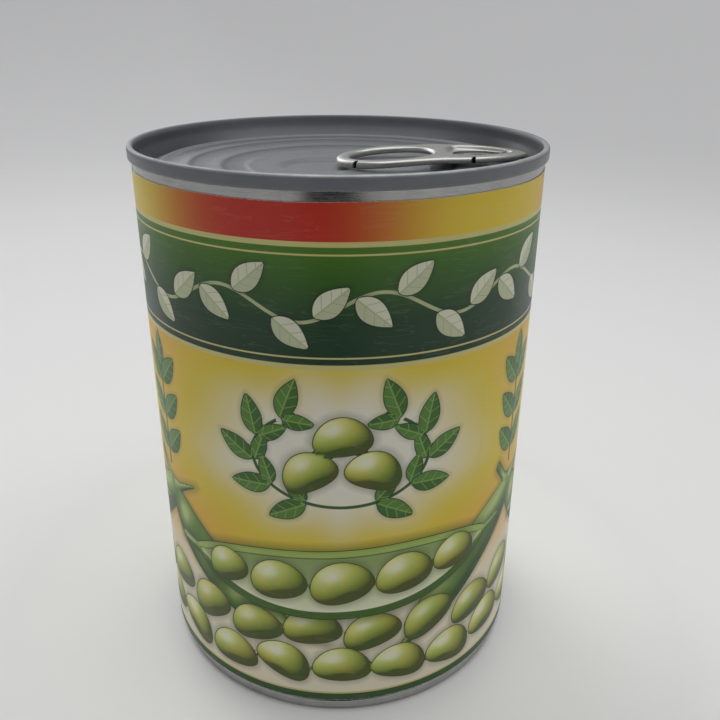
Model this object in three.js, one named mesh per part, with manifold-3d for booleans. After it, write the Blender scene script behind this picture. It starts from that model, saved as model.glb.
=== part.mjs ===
// A closed steel food can with a ring-pull lid and a printed paper label.
// Millimetres. +Z is up, and the origin is on the can's axis at the foot it stands on.
// The ring-pull lies along +X, with its finger ring over the lid's middle and its nose at the rim.
import * as THREE from 'three';
import { mergeVertices } from 'three/addons/utils/BufferGeometryUtils.js';
import Module from 'manifold-3d';

const wasm = await Module();
wasm.setup();

// The can as a whole
const HEIGHT = 115.2;            // foot to crest
const BODY_RADIUS = 41.65;       // outside of the tinplate tube
const BODY_PLATE = 0.18;         // tube's plate
const END_PLATE = 0.22;          // lid's and bottom end's plate
const GAP = 0.06;                // left between plates that press on each other
const FACETS = 48;               // round the can

// Double seams, as depths from the crest that each one ends in
const TOP_SEAM = 2.6;
const FOOT_SEAM = 2.5;
const HOOK_TOP = 0.95;           // how near the crest the lid's hook reaches
const BODY_HOOK = 2.1;           // how far down the body's hook reaches

// Necked foot
const NECK_IN = 1.4;             // how much smaller the foot's radius is
const NECK_LOW = 2.7;            // heights between which the tube tapers
const NECK_HIGH = 3.5;

// Lid panel, as heights of its upper face
const PANEL_OUTER = 110.8;       // broad outer ring
const PANEL_MIDDLE = 110.3;      // first step down
const PANEL_CENTRE = 109.85;     // second step down, under the finger ring
const SCORE_LEVEL = 110.3;       // channel that holds the score line
const COUNTERSINK = 109.3;       // floor of the groove inside the rim
const CHUCK_BEND = 112.7;        // the rim's inner wall leans in below this height

// Lid panel, as radii and widths
const PANEL_RADIUS = 39.2;       // where the panel turns down into the countersink
const SCORE_RADIUS = 38.6;
const SCORE_DEPTH = 0.1;
const SCORE_HALF_WIDTH = 0.16;
const RIDGE_RADIUS = 36.6;       // raised ridge inside the score line
const RIDGE_LEVEL = 111.2;
const RIDGE_HALF_WIDTH = 1.1;
const RIDGE_CREST = 0.35;        // half width of its flat crest
const RIDGE_GAP = 13;            // degrees to each side of the tab where the ridge is pressed flat
const RIDGE_FADE = 5;
const MIDDLE_STEP = 31.0;        // brinks of the two steps
const INNER_STEP = 24.6;
const STEP_FALL = 1.0;           // width over which a step falls steeply
const STEP_SHARE = 0.62;         // share of its height that it falls there
const STEP_RUN = 4.4;            // width over which it runs out
const BEAD_RADIUS = 18.6;        // low bead round the centre
const BEAD_HALF_WIDTH = 1.1;
const BEAD_HEIGHT = 0.14;

// Places pressed into the turned panel
const PAD_START = 23.0;          // X between which the flat pad lies that the tongue is riveted to
const PAD_END = 35.0;
const PAD_RISE = 1.2;            // length of its sloped start, and width of its sloped sides
const PAD_HALF_WIDTH = 4.2;
const PAD_FADE = 2.8;
const WELL_X = -3.4;             // finger well: the ellipse under the ring's end
const WELL_LENGTH = 9.6;         // its half length and half width
const WELL_WIDTH = 8.4;
const WELL_FLOOR = 0.8;          // how far out its level floor reaches
const WELL_DEPTH = 0.7;
const WELL_RINGS = 8;            // rings of points that it is pressed from

// Bottom end, as heights of its lower face and radii
const BASE_PANEL = 3.1;
const BASE_COUNTERSINK = 4.1;
const BASE_RADIUS = 37.0;        // where the panel turns up into the countersink
const BASE_RING = [18.0, 27.0];  // expansion ring's inner and outer edge
const BASE_RING_SLOPE = 1.0;
const BASE_RING_RISE = 0.45;

// Ring-pull
const RING_END = -0.7;           // X of the ring's rounded end
const NOSE_END = 39.4;           // X of the nose's tip
const TAB_WIDE_AT = 10.0;        // X of the ring's centre, where it is widest
const TAB_HALF_WIDTH = 10.3;
const NOSE_HALF_WIDTH = 9.6;     // where the nose starts to narrow
const NOSE_FROM = 22.0;
const NOSE_FULLNESS = 1.8;       // powers that bend the nose's outline
const NOSE_POINT = 0.62;
const RIM_WIDTH = 2.75;          // curled rim round the ring and the nose
const RIM_HEIGHT = 1.3;
const CURL = 0.5;                // rounding of the curl
const TAB_FOOT = 111.45;         // height of the rim's underside at the nose
const RING_DROOP = 1.65;         // how much lower the ring's end lies
const DROOP_FROM = 21.5;         // X where the ring starts to droop
const DROOP_BEND = 1.3;          // power that bends the droop
const TOP_SHARE = 0.8;           // how much of the droop the ring's upper side follows
const NOSE_DIP = 0.35;           // how much the nose's upper side dips to its tip
const NOSE_DIP_FROM = 29.0;
const LIP_SHARE = 0.3;           // how much of the dip its underside follows
const HOLE_END = 19.4;           // finger hole's bridge side
const HOLE_FULLNESS = 2.2;       // power of its oval, 2 being an ellipse
const DISH_START = 21.6;         // opening behind the nose that the tongue lies in
const DISH_END = 35.9;
const DISH_WIDE_AT = 26.0;
const DISH_HALF_WIDTH = 6.5;
const DISH_BEND = 1.7;           // powers that bend its pointed end
const DISH_POINT = 0.75;
const DISH_ROOT = 0.7;           // how far its floor is rooted in the rim
const FLOOR_PLATE = 0.4;         // tab's own plate, seen as the dish's floor
const FLOOR_LIFT = 0.1;          // how far the floor lies above the rim's underside
const TONGUE_SLOT = 0.7;         // slot round the tongue

// Tongue and rivet
const HINGE_X = 35.1;            // bend line between the tongue and the tab
const TONGUE_START = 24.3;
const TONGUE_ROUND = 2.6;        // length of its rounded end
const TONGUE_TAPER = 31.0;       // X where it starts to narrow
const TONGUE_BEND = 32.4;        // X where it starts to rise
const TONGUE_END = 34.8;
const TONGUE_HALF_WIDTH = 3.4;
const BEND_HALF_WIDTH = 0.95;
const TONGUE_PLATE = 0.38;
const RIVET_X = 28.6;
const RIVET_STEM = 1.9;
const RIVET_HEAD = 2.9;
const RIVET_HEIGHT = 0.55;

// Label and contents
const LABEL_LOW = 3.6;
const LABEL_HIGH = 111.0;
const LABEL_PAPER = 0.12;
const LAP_FACETS = 2;            // facets that the glued lap covers, centred on +Y
const FILL_LEVEL = 104.0;

const point = (radius, height) => new THREE.Vector2(radius, height);

// A surface turned about Z. The profile is [radius, height] points, counter-clockwise seen with
// the axis on the left.
function turned(profile, facets = FACETS) {
  const geometry = new THREE.LatheGeometry(profile.map(([r, h]) => point(r, h)), facets);
  geometry.rotateX(Math.PI / 2);
  return geometry;
}

// The line that lies a distance to the left of a row of points, with mitred corners.
function offsetLine(points, distance) {
  return points.map((here, i) => {
    const before = points[Math.max(i - 1, 0)];
    const after = points[Math.min(i + 1, points.length - 1)];
    const arrive = new THREE.Vector2(here[0] - before[0], here[1] - before[1]);
    const leave = new THREE.Vector2(after[0] - here[0], after[1] - here[1]);
    if (i === 0) arrive.copy(leave);
    if (i === points.length - 1) leave.copy(arrive);
    const left = (v) => new THREE.Vector2(-v.y, v.x).normalize();
    const mitre = left(arrive).add(left(leave)).normalize();
    const reach = distance / mitre.dot(left(arrive));
    return [here[0] + mitre.x * reach, here[1] + mitre.y * reach];
  });
}

// A plate's outline in section: both faces of a middle line that runs outwards from the axis.
function plate(middle, thickness) {
  const upper = offsetLine(middle, thickness / 2);
  const lower = offsetLine(middle, -thickness / 2);
  if (middle[0][0] === 0) {
    upper[0][0] = 0;
    lower[0][0] = 0;
  }
  return { upper, lower };
}

// Middle lines of the folded plates in a double seam, as [offset from the tube's outside, depth]
const HOOK = GAP + END_PLATE / 2;
const BODY_FOLD = HOOK + END_PLATE / 2 + GAP + BODY_PLATE / 2;
const SEAM_WALL = BODY_FOLD + BODY_PLATE / 2 + GAP + END_PLATE / 2;
const CHUCK_WALL = -(BODY_PLATE + GAP + END_PLATE / 2);
const BODY_TOP = END_PLATE + GAP + BODY_PLATE / 2;

function endFold(length) {
  const turn = length - END_PLATE / 2;
  return [
    [CHUCK_WALL, 0.62], [-0.2, 0.17], [0.04, END_PLATE / 2], [0.44, END_PLATE / 2],
    [SEAM_WALL, 0.4], [SEAM_WALL, turn - 0.26], [SEAM_WALL - 0.18, turn],
    [HOOK + 0.14, turn], [HOOK, turn - 0.2], [HOOK, HOOK_TOP],
  ];
}

const BODY_BEND = [
  [BODY_FOLD, BODY_HOOK], [BODY_FOLD, 0.74], [BODY_FOLD - 0.18, BODY_TOP],
  [0.09, BODY_TOP], [-BODY_PLATE / 2, 0.74],
];

// Can body: a tube with its foot necked in and both edges folded into hooks.
function canBody() {
  const footRadius = BODY_RADIUS - NECK_IN;
  const middle = [
    ...BODY_BEND.map(([offset, depth]) => [footRadius + offset, depth]),
    [footRadius - BODY_PLATE / 2, NECK_LOW],
    [BODY_RADIUS - BODY_PLATE / 2, NECK_HIGH],
    ...BODY_BEND.map(([offset, depth]) => [BODY_RADIUS + offset, HEIGHT - depth]).reverse(),
  ];
  const outline = [
    ...offsetLine(middle, -BODY_PLATE / 2),
    ...offsetLine(middle, BODY_PLATE / 2).reverse(),
  ];
  return turned([...outline, outline[0]]);
}

// A row of points with one more, at a radius between two of its own
function withRing(line, radius) {
  const next = line.findIndex(([r]) => r > radius);
  const [[r0, h0], [r1, h1]] = [line[next - 1], line[next]];
  const height = THREE.MathUtils.lerp(h0, h1, (radius - r0) / (r1 - r0));
  return [...line.slice(0, next), [radius, height], ...line.slice(next)];
}

// Lid: stepped panel, ridge, countersink and the rim's inner wall, folded over the tube's top edge.
function lidMiddleLine() {
  const [centre, middle, outer, ridge, channel, groove] = [
    PANEL_CENTRE, PANEL_MIDDLE, PANEL_OUTER, RIDGE_LEVEL, SCORE_LEVEL, COUNTERSINK,
  ].map((level) => level - END_PLATE / 2);
  const bead = BEAD_RADIUS - BEAD_HALF_WIDTH;
  const centreRings = Array.from({ length: WELL_RINGS }, (_, i) => [bead * i / WELL_RINGS, centre]);
  const step = (brink, high, low) => [
    [brink - STEP_RUN, low],
    [brink - STEP_FALL, THREE.MathUtils.lerp(high, low, STEP_SHARE)],
    [brink, high],
  ];
  const panel = [
    ...centreRings, [bead, centre], [BEAD_RADIUS, centre + BEAD_HEIGHT],
    [BEAD_RADIUS + BEAD_HALF_WIDTH, centre],
    ...step(INNER_STEP, middle, centre),
    ...step(MIDDLE_STEP, outer, middle),
    [RIDGE_RADIUS - RIDGE_HALF_WIDTH, outer], [RIDGE_RADIUS - RIDGE_CREST, ridge],
    [RIDGE_RADIUS + RIDGE_CREST, ridge], [RIDGE_RADIUS + RIDGE_HALF_WIDTH, channel],
    [PANEL_RADIUS, channel],
  ];
  return [
    ...withRing(withRing(panel, PAD_START), PAD_START - PAD_RISE),
    [PANEL_RADIUS + 0.3, channel - 0.3], [PANEL_RADIUS + 0.45, groove + 0.15],
    [PANEL_RADIUS + 0.7, groove], [PANEL_RADIUS + 0.95, groove + 0.12],
    [PANEL_RADIUS + 1.1, groove + 0.6], [BODY_RADIUS + CHUCK_WALL - 0.1, CHUCK_BEND],
    ...endFold(TOP_SEAM).map(([offset, depth]) => [BODY_RADIUS + offset, HEIGHT - depth]),
  ];
}

// How far the panel is pressed up or down at a place on a ring of a given height: up to the flat pad
// under the tongue, flat where the ridge would meet the tab, and down into the finger well
function pressed(x, y, ringLevel) {
  const { radToDeg, smoothstep } = THREE.MathUtils;
  const outer = PANEL_OUTER - END_PLATE / 2;
  const radius = Math.hypot(x, y);
  const along = radius < PAD_END ? smoothstep(x, PAD_START - PAD_RISE, PAD_START) : 0;
  const across = 1 - smoothstep(Math.abs(y), PAD_HALF_WIDTH, PAD_HALF_WIDTH + PAD_FADE);
  const fromTab = Math.abs(radToDeg(Math.atan2(y, x)));
  const besideTab = 1 - smoothstep(fromTab, RIDGE_GAP, RIDGE_GAP + RIDGE_FADE);
  const inWell = 1 - smoothstep(Math.hypot((x - WELL_X) / WELL_LENGTH, y / WELL_WIDTH), WELL_FLOOR, 1);
  return (outer - ringLevel) * along * across
    - Math.max(0, ringLevel - outer) * besideTab
    - WELL_DEPTH * inWell;
}

// The lid's plate: both faces of the middle line with the score cut in the upper one, turned, and
// then pressed. Each profile point keeps its middle line's height as a third value.
function lidSheet() {
  const line = lidMiddleLine();
  const { upper, lower } = plate(line, END_PLATE);
  const withLevel = (face) => face.map(([r, h], i) => [r, h, line[i][1]]);
  const top = withLevel(upper);
  const edge = top.findIndex(([r]) => r > SCORE_RADIUS);
  const channel = SCORE_LEVEL - END_PLATE / 2;
  top.splice(
    edge, 0,
    [SCORE_RADIUS - SCORE_HALF_WIDTH, SCORE_LEVEL, channel],
    [SCORE_RADIUS, SCORE_LEVEL - SCORE_DEPTH, channel],
    [SCORE_RADIUS + SCORE_HALF_WIDTH, SCORE_LEVEL, channel],
  );
  const profile = [...withLevel(lower), ...top.reverse()];
  const geometry = turned(profile);
  const place = geometry.getAttribute('position');
  for (let i = 0; i < place.count; i += 1) {
    const [x, y] = [place.getX(i), place.getY(i)];
    if (Math.hypot(x, y) < PANEL_RADIUS) {
      place.setZ(i, place.getZ(i) + pressed(x, y, profile[i % profile.length][2]));
    }
  }
  return geometry;
}

// Rivet, drawn up out of the lid's plate through the tongue and flattened on it
function rivet() {
  const tongueTop = PANEL_OUTER + GAP + TONGUE_PLATE;
  const geometry = turned([
    [0, PANEL_OUTER - END_PLATE / 2], [RIVET_STEM, PANEL_OUTER - END_PLATE / 2],
    [RIVET_STEM, tongueTop + GAP], [RIVET_HEAD, tongueTop + GAP],
    [RIVET_HEAD, tongueTop + GAP + RIVET_HEIGHT - 0.2],
    [RIVET_HEAD - 0.35, tongueTop + GAP + RIVET_HEIGHT], [0, tongueTop + GAP + RIVET_HEIGHT],
  ], 24);
  geometry.translate(RIVET_X, 0, 0);
  return geometry;
}

// Bottom end: plain pressed plate with an expansion ring, folded over the tube's foot.
function bottomEnd() {
  const footRadius = BODY_RADIUS - NECK_IN;
  const half = END_PLATE / 2;
  const panel = BASE_PANEL + half;
  const top = BASE_COUNTERSINK + half;
  const raised = panel + BASE_RING_RISE;
  const [inner, outer] = BASE_RING;
  const middle = [
    [0, panel], [inner, panel], [inner + BASE_RING_SLOPE, raised],
    [outer - BASE_RING_SLOPE, raised], [outer, panel],
    [BASE_RADIUS, panel], [BASE_RADIUS + 0.5, top - 0.15], [BASE_RADIUS + 0.9, top],
    [BASE_RADIUS + 1.4, top], [BASE_RADIUS + 1.85, top - 0.5],
    ...endFold(FOOT_SEAM).map(([offset, depth]) => [footRadius + offset, depth]),
  ];
  const { upper, lower } = plate(middle, END_PLATE);
  return turned([...lower, ...upper.reverse()]);
}

// Sealing compound squeezed into the space above the hook in a double seam
function seamGasket(tubeRadius, side) {
  const section = [[0.09, 0.88], [0.25, 0.88], [0.25, 0.7], [0.2, 0.6], [0.14, 0.6], [0.09, 0.7]];
  const outline = section.map(([offset, depth]) => [tubeRadius + offset, side(depth)]);
  const upright = side(0) < side(1) ? outline.reverse() : outline;
  return turned([...upright, upright[0]]);
}

// Half of the tab's width at a place along it: a round ring end that narrows to a blunt nose.
function tabHalfWidth(x) {
  if (x <= TAB_WIDE_AT) {
    const along = (TAB_WIDE_AT - x) / (TAB_WIDE_AT - RING_END);
    return TAB_HALF_WIDTH * Math.sqrt(Math.max(0, 1 - along * along));
  }
  if (x <= NOSE_FROM) {
    const waist = THREE.MathUtils.smoothstep(x, TAB_WIDE_AT, NOSE_FROM);
    return THREE.MathUtils.lerp(TAB_HALF_WIDTH, NOSE_HALF_WIDTH, waist);
  }
  const along = Math.min(1, (x - NOSE_FROM) / (NOSE_END - NOSE_FROM));
  return NOSE_HALF_WIDTH * Math.pow(1 - Math.pow(along, NOSE_FULLNESS), NOSE_POINT);
}

// A closed outline from a half width, with its points crowded towards both ends.
function mirroredOutline(from, to, halfWidth, steps) {
  const side = [];
  for (let i = 0; i < steps; i += 1) {
    const x = (from + to) / 2 - (to - from) / 2 * Math.cos(Math.PI * (i + 0.5) / steps);
    side.push([x, halfWidth(x)]);
  }
  const near = side.map(([x, half]) => new THREE.Vector2(x, -half));
  const far = side.reverse().map(([x, half]) => new THREE.Vector2(x, half));
  return [...near, ...far];
}

// Half of the finger hole's width: an oval a little squarer than an ellipse
function holeHalfWidth(x) {
  const middle = (RING_END + RIM_WIDTH + HOLE_END) / 2;
  const along = Math.abs(x - middle) / (HOLE_END - middle);
  return (TAB_HALF_WIDTH - RIM_WIDTH) * Math.pow(1 - Math.pow(along, HOLE_FULLNESS), 1 / HOLE_FULLNESS);
}

// Half of the dish's width, let out by a margin: round at the bridge, pointed at the nose
function dishHalfWidth(margin) {
  return (x) => {
    const half = DISH_HALF_WIDTH + margin;
    if (x < DISH_WIDE_AT) {
      const along = (DISH_WIDE_AT - x) / (DISH_WIDE_AT - DISH_START + margin);
      return half * Math.pow(Math.max(0, 1 - Math.pow(along, HOLE_FULLNESS)), 1 / HOLE_FULLNESS);
    }
    const along = (x - DISH_WIDE_AT) / (DISH_END + margin - DISH_WIDE_AT);
    return half * Math.pow(Math.max(0, 1 - Math.pow(along, DISH_BEND)), DISH_POINT);
  };
}

function extruded(shape, depth, bevel = 0) {
  return new THREE.ExtrudeGeometry(shape, {
    depth: depth - 2 * bevel,
    bevelEnabled: bevel > 0,
    bevelThickness: bevel,
    bevelSize: bevel,
    bevelOffset: -bevel,
    bevelSegments: 2,
    curveSegments: 16,
  }).translate(0, 0, bevel);
}

// Pull tab: the curled rim round the finger hole and the nose, and the thin floor of the dish. Its
// ring droops towards its end, and its nose dips towards its tip.
function tabRim() {
  const { clamp, lerp } = THREE.MathUtils;
  const shape = new THREE.Shape(mirroredOutline(RING_END, NOSE_END, tabHalfWidth, 20));
  const hole = mirroredOutline(RING_END + RIM_WIDTH, HOLE_END, holeHalfWidth, 12);
  const dish = mirroredOutline(DISH_START, DISH_END, dishHalfWidth(0), 12);
  shape.holes.push(new THREE.Path(hole), new THREE.Path(dish));
  const geometry = extruded(shape, RIM_HEIGHT, CURL).translate(0, 0, TAB_FOOT);
  const place = geometry.getAttribute('position');
  for (let i = 0; i < place.count; i += 1) {
    const [x, z] = [place.getX(i), place.getZ(i)];
    const up = (z - TAB_FOOT) / RIM_HEIGHT;
    const droop = 1 - clamp((x - RING_END) / (DROOP_FROM - RING_END), 0, 1);
    const dip = clamp((x - NOSE_DIP_FROM) / (NOSE_END - NOSE_DIP_FROM), 0, 1);
    const drooped = RING_DROOP * Math.pow(droop, DROOP_BEND) * lerp(1, TOP_SHARE, up);
    place.setZ(i, z - drooped - NOSE_DIP * dip * dip * lerp(LIP_SHARE, 1, up));
  }
  return geometry;
}

// Tongue's outline let out by a margin: rounded at the ring's side, narrowed to the bend line.
function tongueOutline(margin, end) {
  const half = TONGUE_HALF_WIDTH + margin;
  const middle = TONGUE_START + TONGUE_ROUND;
  const shape = new THREE.Shape();
  shape.moveTo(end, -BEND_HALF_WIDTH - margin / 2);
  shape.lineTo(end, BEND_HALF_WIDTH + margin / 2);
  shape.lineTo(TONGUE_TAPER, half);
  shape.absellipse(middle, 0, TONGUE_ROUND + margin, half, Math.PI / 2, Math.PI * 1.5, false);
  shape.lineTo(TONGUE_TAPER, -half);
  return shape.getPoints(8);
}

function dishFloor() {
  const [from, to] = [DISH_START - DISH_ROOT, DISH_END + DISH_ROOT];
  const edge = mirroredOutline(from, to, dishHalfWidth(DISH_ROOT), 12);
  const shape = new THREE.Shape(edge);
  const window = new THREE.Path(tongueOutline(TONGUE_SLOT, HINGE_X));
  shape.holes.push(window);
  return extruded(shape, FLOOR_PLATE).translate(0, 0, TAB_FOOT + FLOOR_LIFT);
}

// Tongue: a strip that is flat round the rivet and rises to meet the tab at the bend line, cut
// to its outline and pierced for the rivet.
function tabTongue() {
  const base = PANEL_OUTER + GAP;
  const bend = TAB_FOOT + FLOOR_LIFT;
  const strip = new THREE.Shape([
    [TONGUE_START - 1, base], [TONGUE_BEND, base], [TONGUE_END + 1, bend + 0.1],
    [TONGUE_END + 1, bend + 0.1 + TONGUE_PLATE], [TONGUE_BEND, base + TONGUE_PLATE],
    [TONGUE_START - 1, base + TONGUE_PLATE],
  ].map(([x, z]) => point(x, z)));
  const side = extruded(strip, 4 * TONGUE_HALF_WIDTH);
  side.rotateX(Math.PI / 2).translate(0, 2 * TONGUE_HALF_WIDTH, 0);
  const outline = new THREE.Shape(tongueOutline(0, TONGUE_END));
  const hole = new THREE.Path();
  hole.absarc(RIVET_X, 0, RIVET_STEM + 0.2, 0, Math.PI * 2, true);
  outline.holes.push(hole);
  const plan = extruded(outline, 4).translate(0, 0, base - 1);
  return geometryOf(solid(side).intersect(solid(plan)));
}

// Label: one turn of paper. Its outer end laps over its inner one at the back.
function paperLabel() {
  const inside = BODY_RADIUS + GAP;
  const shape = new THREE.Shape();
  const hole = new THREE.Path();
  for (let i = 0; i < FACETS; i += 1) {
    const angle = 2 * Math.PI * i / FACETS;
    const [x, y] = [Math.cos(angle), Math.sin(angle)];
    const fromBack = Math.abs(i - FACETS / 4);
    const outside = inside + LABEL_PAPER * (fromBack <= LAP_FACETS / 2 ? 2 : 1);
    if (i === 0) {
      shape.moveTo(outside * x, outside * y);
      hole.moveTo(inside * x, inside * y);
    } else {
      shape.lineTo(outside * x, outside * y);
      hole.lineTo(inside * x, inside * y);
    }
  }
  shape.holes.push(hole);
  return extruded(shape, LABEL_HIGH - LABEL_LOW).translate(0, 0, LABEL_LOW);
}

// Beans and brine, up to the headspace, resting on the bottom end.
function beansInBrine() {
  const wall = BODY_RADIUS - BODY_PLATE - GAP;
  const base = BASE_PANEL + BASE_RING_RISE + END_PLATE + GAP;
  const shoulder = BASE_COUNTERSINK + END_PLATE + GAP;
  return turned([
    [0, base], [BASE_RADIUS - 0.8, base], [BASE_RADIUS, shoulder], [wall - 0.2, shoulder],
    [wall, shoulder + 0.3], [wall, FILL_LEVEL], [0, FILL_LEVEL],
  ]);
}

// Closed solids for joining
function solid(geometry) {
  const bare = geometry.index ? geometry.toNonIndexed() : geometry.clone();
  bare.deleteAttribute('normal');
  bare.deleteAttribute('uv');
  const merged = mergeVertices(bare, 1e-5);
  const corners = merged.index.array;
  const kept = [];
  for (let i = 0; i < corners.length; i += 3) {
    const [a, b, c] = corners.slice(i, i + 3);
    if (a !== b && b !== c && c !== a) kept.push(a, b, c);
  }
  return new wasm.Manifold(new wasm.Mesh({
    numProp: 3,
    vertProperties: merged.getAttribute('position').array,
    triVerts: new Uint32Array(kept),
  }));
}

function geometryOf(manifold) {
  const mesh = manifold.getMesh();
  const geometry = new THREE.BufferGeometry();
  geometry.setAttribute('position', new THREE.BufferAttribute(mesh.vertProperties, 3));
  geometry.setIndex(new THREE.BufferAttribute(mesh.triVerts, 1));
  geometry.computeVertexNormals();
  return geometry;
}

// Finishes
const tinplate = { color: 0xa4a6a4, roughness: 0.32, metalness: 0.9 };
const greyLacquer = { color: 0x777c82, roughness: 0.42, metalness: 0.3 };
const bareTab = { color: 0xc9c8c0, roughness: 0.25, metalness: 0.95 };
const printedPaper = { color: 0xe0a21c, roughness: 0.45, metalness: 0 };
const compound = { color: 0x4a4a46, roughness: 0.9, metalness: 0 };
const beans = { color: 0x8d9a45, roughness: 0.5, metalness: 0 };

const group = new THREE.Group();

function add(name, geometry, finish) {
  const mesh = new THREE.Mesh(geometry, new THREE.MeshStandardMaterial(finish));
  mesh.name = name;
  group.add(mesh);
}

const lid = solid(lidSheet()).add(solid(rivet()));
const tab = solid(tabRim()).add(solid(dishFloor()));

add('can_body', canBody(), tinplate);
add('easy_open_end', geometryOf(lid), greyLacquer);
add('bottom_end', bottomEnd(), tinplate);
add('seam_gasket_top', seamGasket(BODY_RADIUS, (depth) => HEIGHT - depth), compound);
add('seam_gasket_bottom', seamGasket(BODY_RADIUS - NECK_IN, (depth) => depth), compound);
add('tab_tongue', tabTongue(), bareTab);
add('pull_tab', geometryOf(tab), bareTab);
add('paper_label', paperLabel(), printedPaper);
add('beans_in_brine', beansInBrine(), beans);

export default group;
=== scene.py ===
"""A closed steel food can with a ring-pull lid and a printed paper label, as it looks up close."""
import math

import bmesh
import bpy
import numpy as np
from mathutils import Matrix, Vector


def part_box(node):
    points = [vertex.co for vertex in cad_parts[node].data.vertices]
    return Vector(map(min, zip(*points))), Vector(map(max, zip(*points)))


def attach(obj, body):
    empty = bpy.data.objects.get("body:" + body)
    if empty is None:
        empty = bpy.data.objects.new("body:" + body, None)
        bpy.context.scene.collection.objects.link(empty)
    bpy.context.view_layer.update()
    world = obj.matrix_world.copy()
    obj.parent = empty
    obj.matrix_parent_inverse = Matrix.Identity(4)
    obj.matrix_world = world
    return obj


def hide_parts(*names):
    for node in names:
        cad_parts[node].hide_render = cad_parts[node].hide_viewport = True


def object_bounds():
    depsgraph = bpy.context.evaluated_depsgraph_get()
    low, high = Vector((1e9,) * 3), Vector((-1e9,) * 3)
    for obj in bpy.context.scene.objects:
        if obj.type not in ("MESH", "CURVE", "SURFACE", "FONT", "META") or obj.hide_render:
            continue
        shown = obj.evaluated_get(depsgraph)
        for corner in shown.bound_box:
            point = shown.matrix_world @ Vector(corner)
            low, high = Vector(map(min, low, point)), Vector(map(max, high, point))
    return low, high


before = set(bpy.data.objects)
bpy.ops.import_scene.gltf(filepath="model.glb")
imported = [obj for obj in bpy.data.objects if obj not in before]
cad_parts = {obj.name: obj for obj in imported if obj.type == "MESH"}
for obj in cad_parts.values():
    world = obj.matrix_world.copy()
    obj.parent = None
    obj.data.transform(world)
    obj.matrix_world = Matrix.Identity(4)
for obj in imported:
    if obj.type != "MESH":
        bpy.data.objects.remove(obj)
cad_low, cad_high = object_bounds()

# Can body: a tube rolled from one sheet of thin tinplate and welded up its back. Its foot is necked in,
# and both of its edges are flanged and folded into the double seams. Sizes are in millimetres.
MM = 0.001
HEIGHT = cad_high.z / MM
BODY_PLATE = 0.18
END_PLATE = 0.22
GAP = 0.06
HOOK = GAP + END_PLATE / 2
BODY_FOLD = HOOK + END_PLATE / 2 + GAP + BODY_PLATE / 2
SEAM_WALL = BODY_FOLD + BODY_PLATE / 2 + GAP + END_PLATE / 2
CHUCK_WALL = -(BODY_PLATE + GAP + END_PLATE / 2)
BODY_TOP = END_PLATE + GAP + BODY_PLATE / 2
BODY_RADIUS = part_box("can_body")[1].x / MM - BODY_FOLD - BODY_PLATE / 2
FOOT_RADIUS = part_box("bottom_end")[1].x / MM - SEAM_WALL - END_PLATE / 2
NECK_LOW, NECK_HIGH = 2.7, 3.5
BODY_HOOK = 2.1
BODY_BEND = np.array([
    [BODY_FOLD, BODY_HOOK], [BODY_FOLD, 0.74], [BODY_FOLD - 0.18, BODY_TOP],
    [0.09, BODY_TOP], [-BODY_PLATE / 2, 0.74],
])
WELD_WIDTH = 0.9                 # overlap of the welded side seam, at the back
WELD_HEIGHT = 0.04
WELD_STOP = 2.75                 # how far under the crest its ridge stops
TURNS = 288                      # steps round the can


def rounded_line(corners, reach, steps=5):
    """A row of corners with each inner one drawn as the curve (1-t)^2 A + 2t(1-t) C + t^2 B, where A and
    B lie on the two sides of the corner C, at most `reach` from it and within 0.45 of the side."""
    corners = np.asarray(corners, float)
    corner = corners[1:-1]
    back, ahead = corners[:-2] - corner, corners[2:] - corner
    back_length = np.linalg.norm(back, axis=1, keepdims=True)
    ahead_length = np.linalg.norm(ahead, axis=1, keepdims=True)
    start = corner + back / back_length * np.minimum(reach, 0.45 * back_length)
    end = corner + ahead / ahead_length * np.minimum(reach, 0.45 * ahead_length)
    t = np.linspace(0, 1, steps)[None, :, None]
    arcs = (1 - t) ** 2 * start[:, None] + 2 * t * (1 - t) * corner[:, None] + t ** 2 * end[:, None]
    return np.vstack([corners[:1], arcs.reshape(-1, 2), corners[-1:]])


def beside(line, distance):
    """The line that lies a distance to the left of another: each point moved along the normal there."""
    ahead = np.gradient(line, axis=0)
    ahead /= np.linalg.norm(ahead, axis=1, keepdims=True)
    return line + distance * np.stack([-ahead[:, 1], ahead[:, 0]], axis=1)


def plate_section(middle, thickness, closed):
    """Both faces of a plate round its middle line, as one outline that comes back to its start where
    the plate is closed on itself, and otherwise starts and ends on the can's axis."""
    lower, upper = beside(middle, -thickness / 2), beside(middle, thickness / 2)
    outline = np.vstack([lower, upper[::-1]])
    return np.vstack([outline, outline[:1]]) if closed else outline


def turned(section, angles):
    """A section of (radius, height) points carried round the axis: x = r sin a, y = -r cos a, so that
    angle 0 is the can's front. Gives the grid of points and its map of millimetres (round, along)."""
    radius, height = section[:, :1], section[:, 1:]
    grid = np.stack(np.broadcast_arrays(radius * np.sin(angles), -radius * np.cos(angles), height), axis=-1)
    steps = np.linalg.norm(np.diff(section, axis=0), axis=1)
    along = np.concatenate([[0], np.cumsum(steps)])[:, None]
    wrap = np.stack(np.broadcast_arrays(angles * BODY_RADIUS, along), axis=-1)
    return grid, wrap


def quads_of(grid, first=0):
    """The faces of a grid whose points are numbered row by row from `first`, as (row, column, 4)."""
    rows, columns = grid.shape[:2]
    index = first + np.arange(rows * columns).reshape(rows, columns)
    return np.stack([index[:-1, :-1], index[:-1, 1:], index[1:, 1:], index[1:, :-1]], axis=-1)


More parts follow.
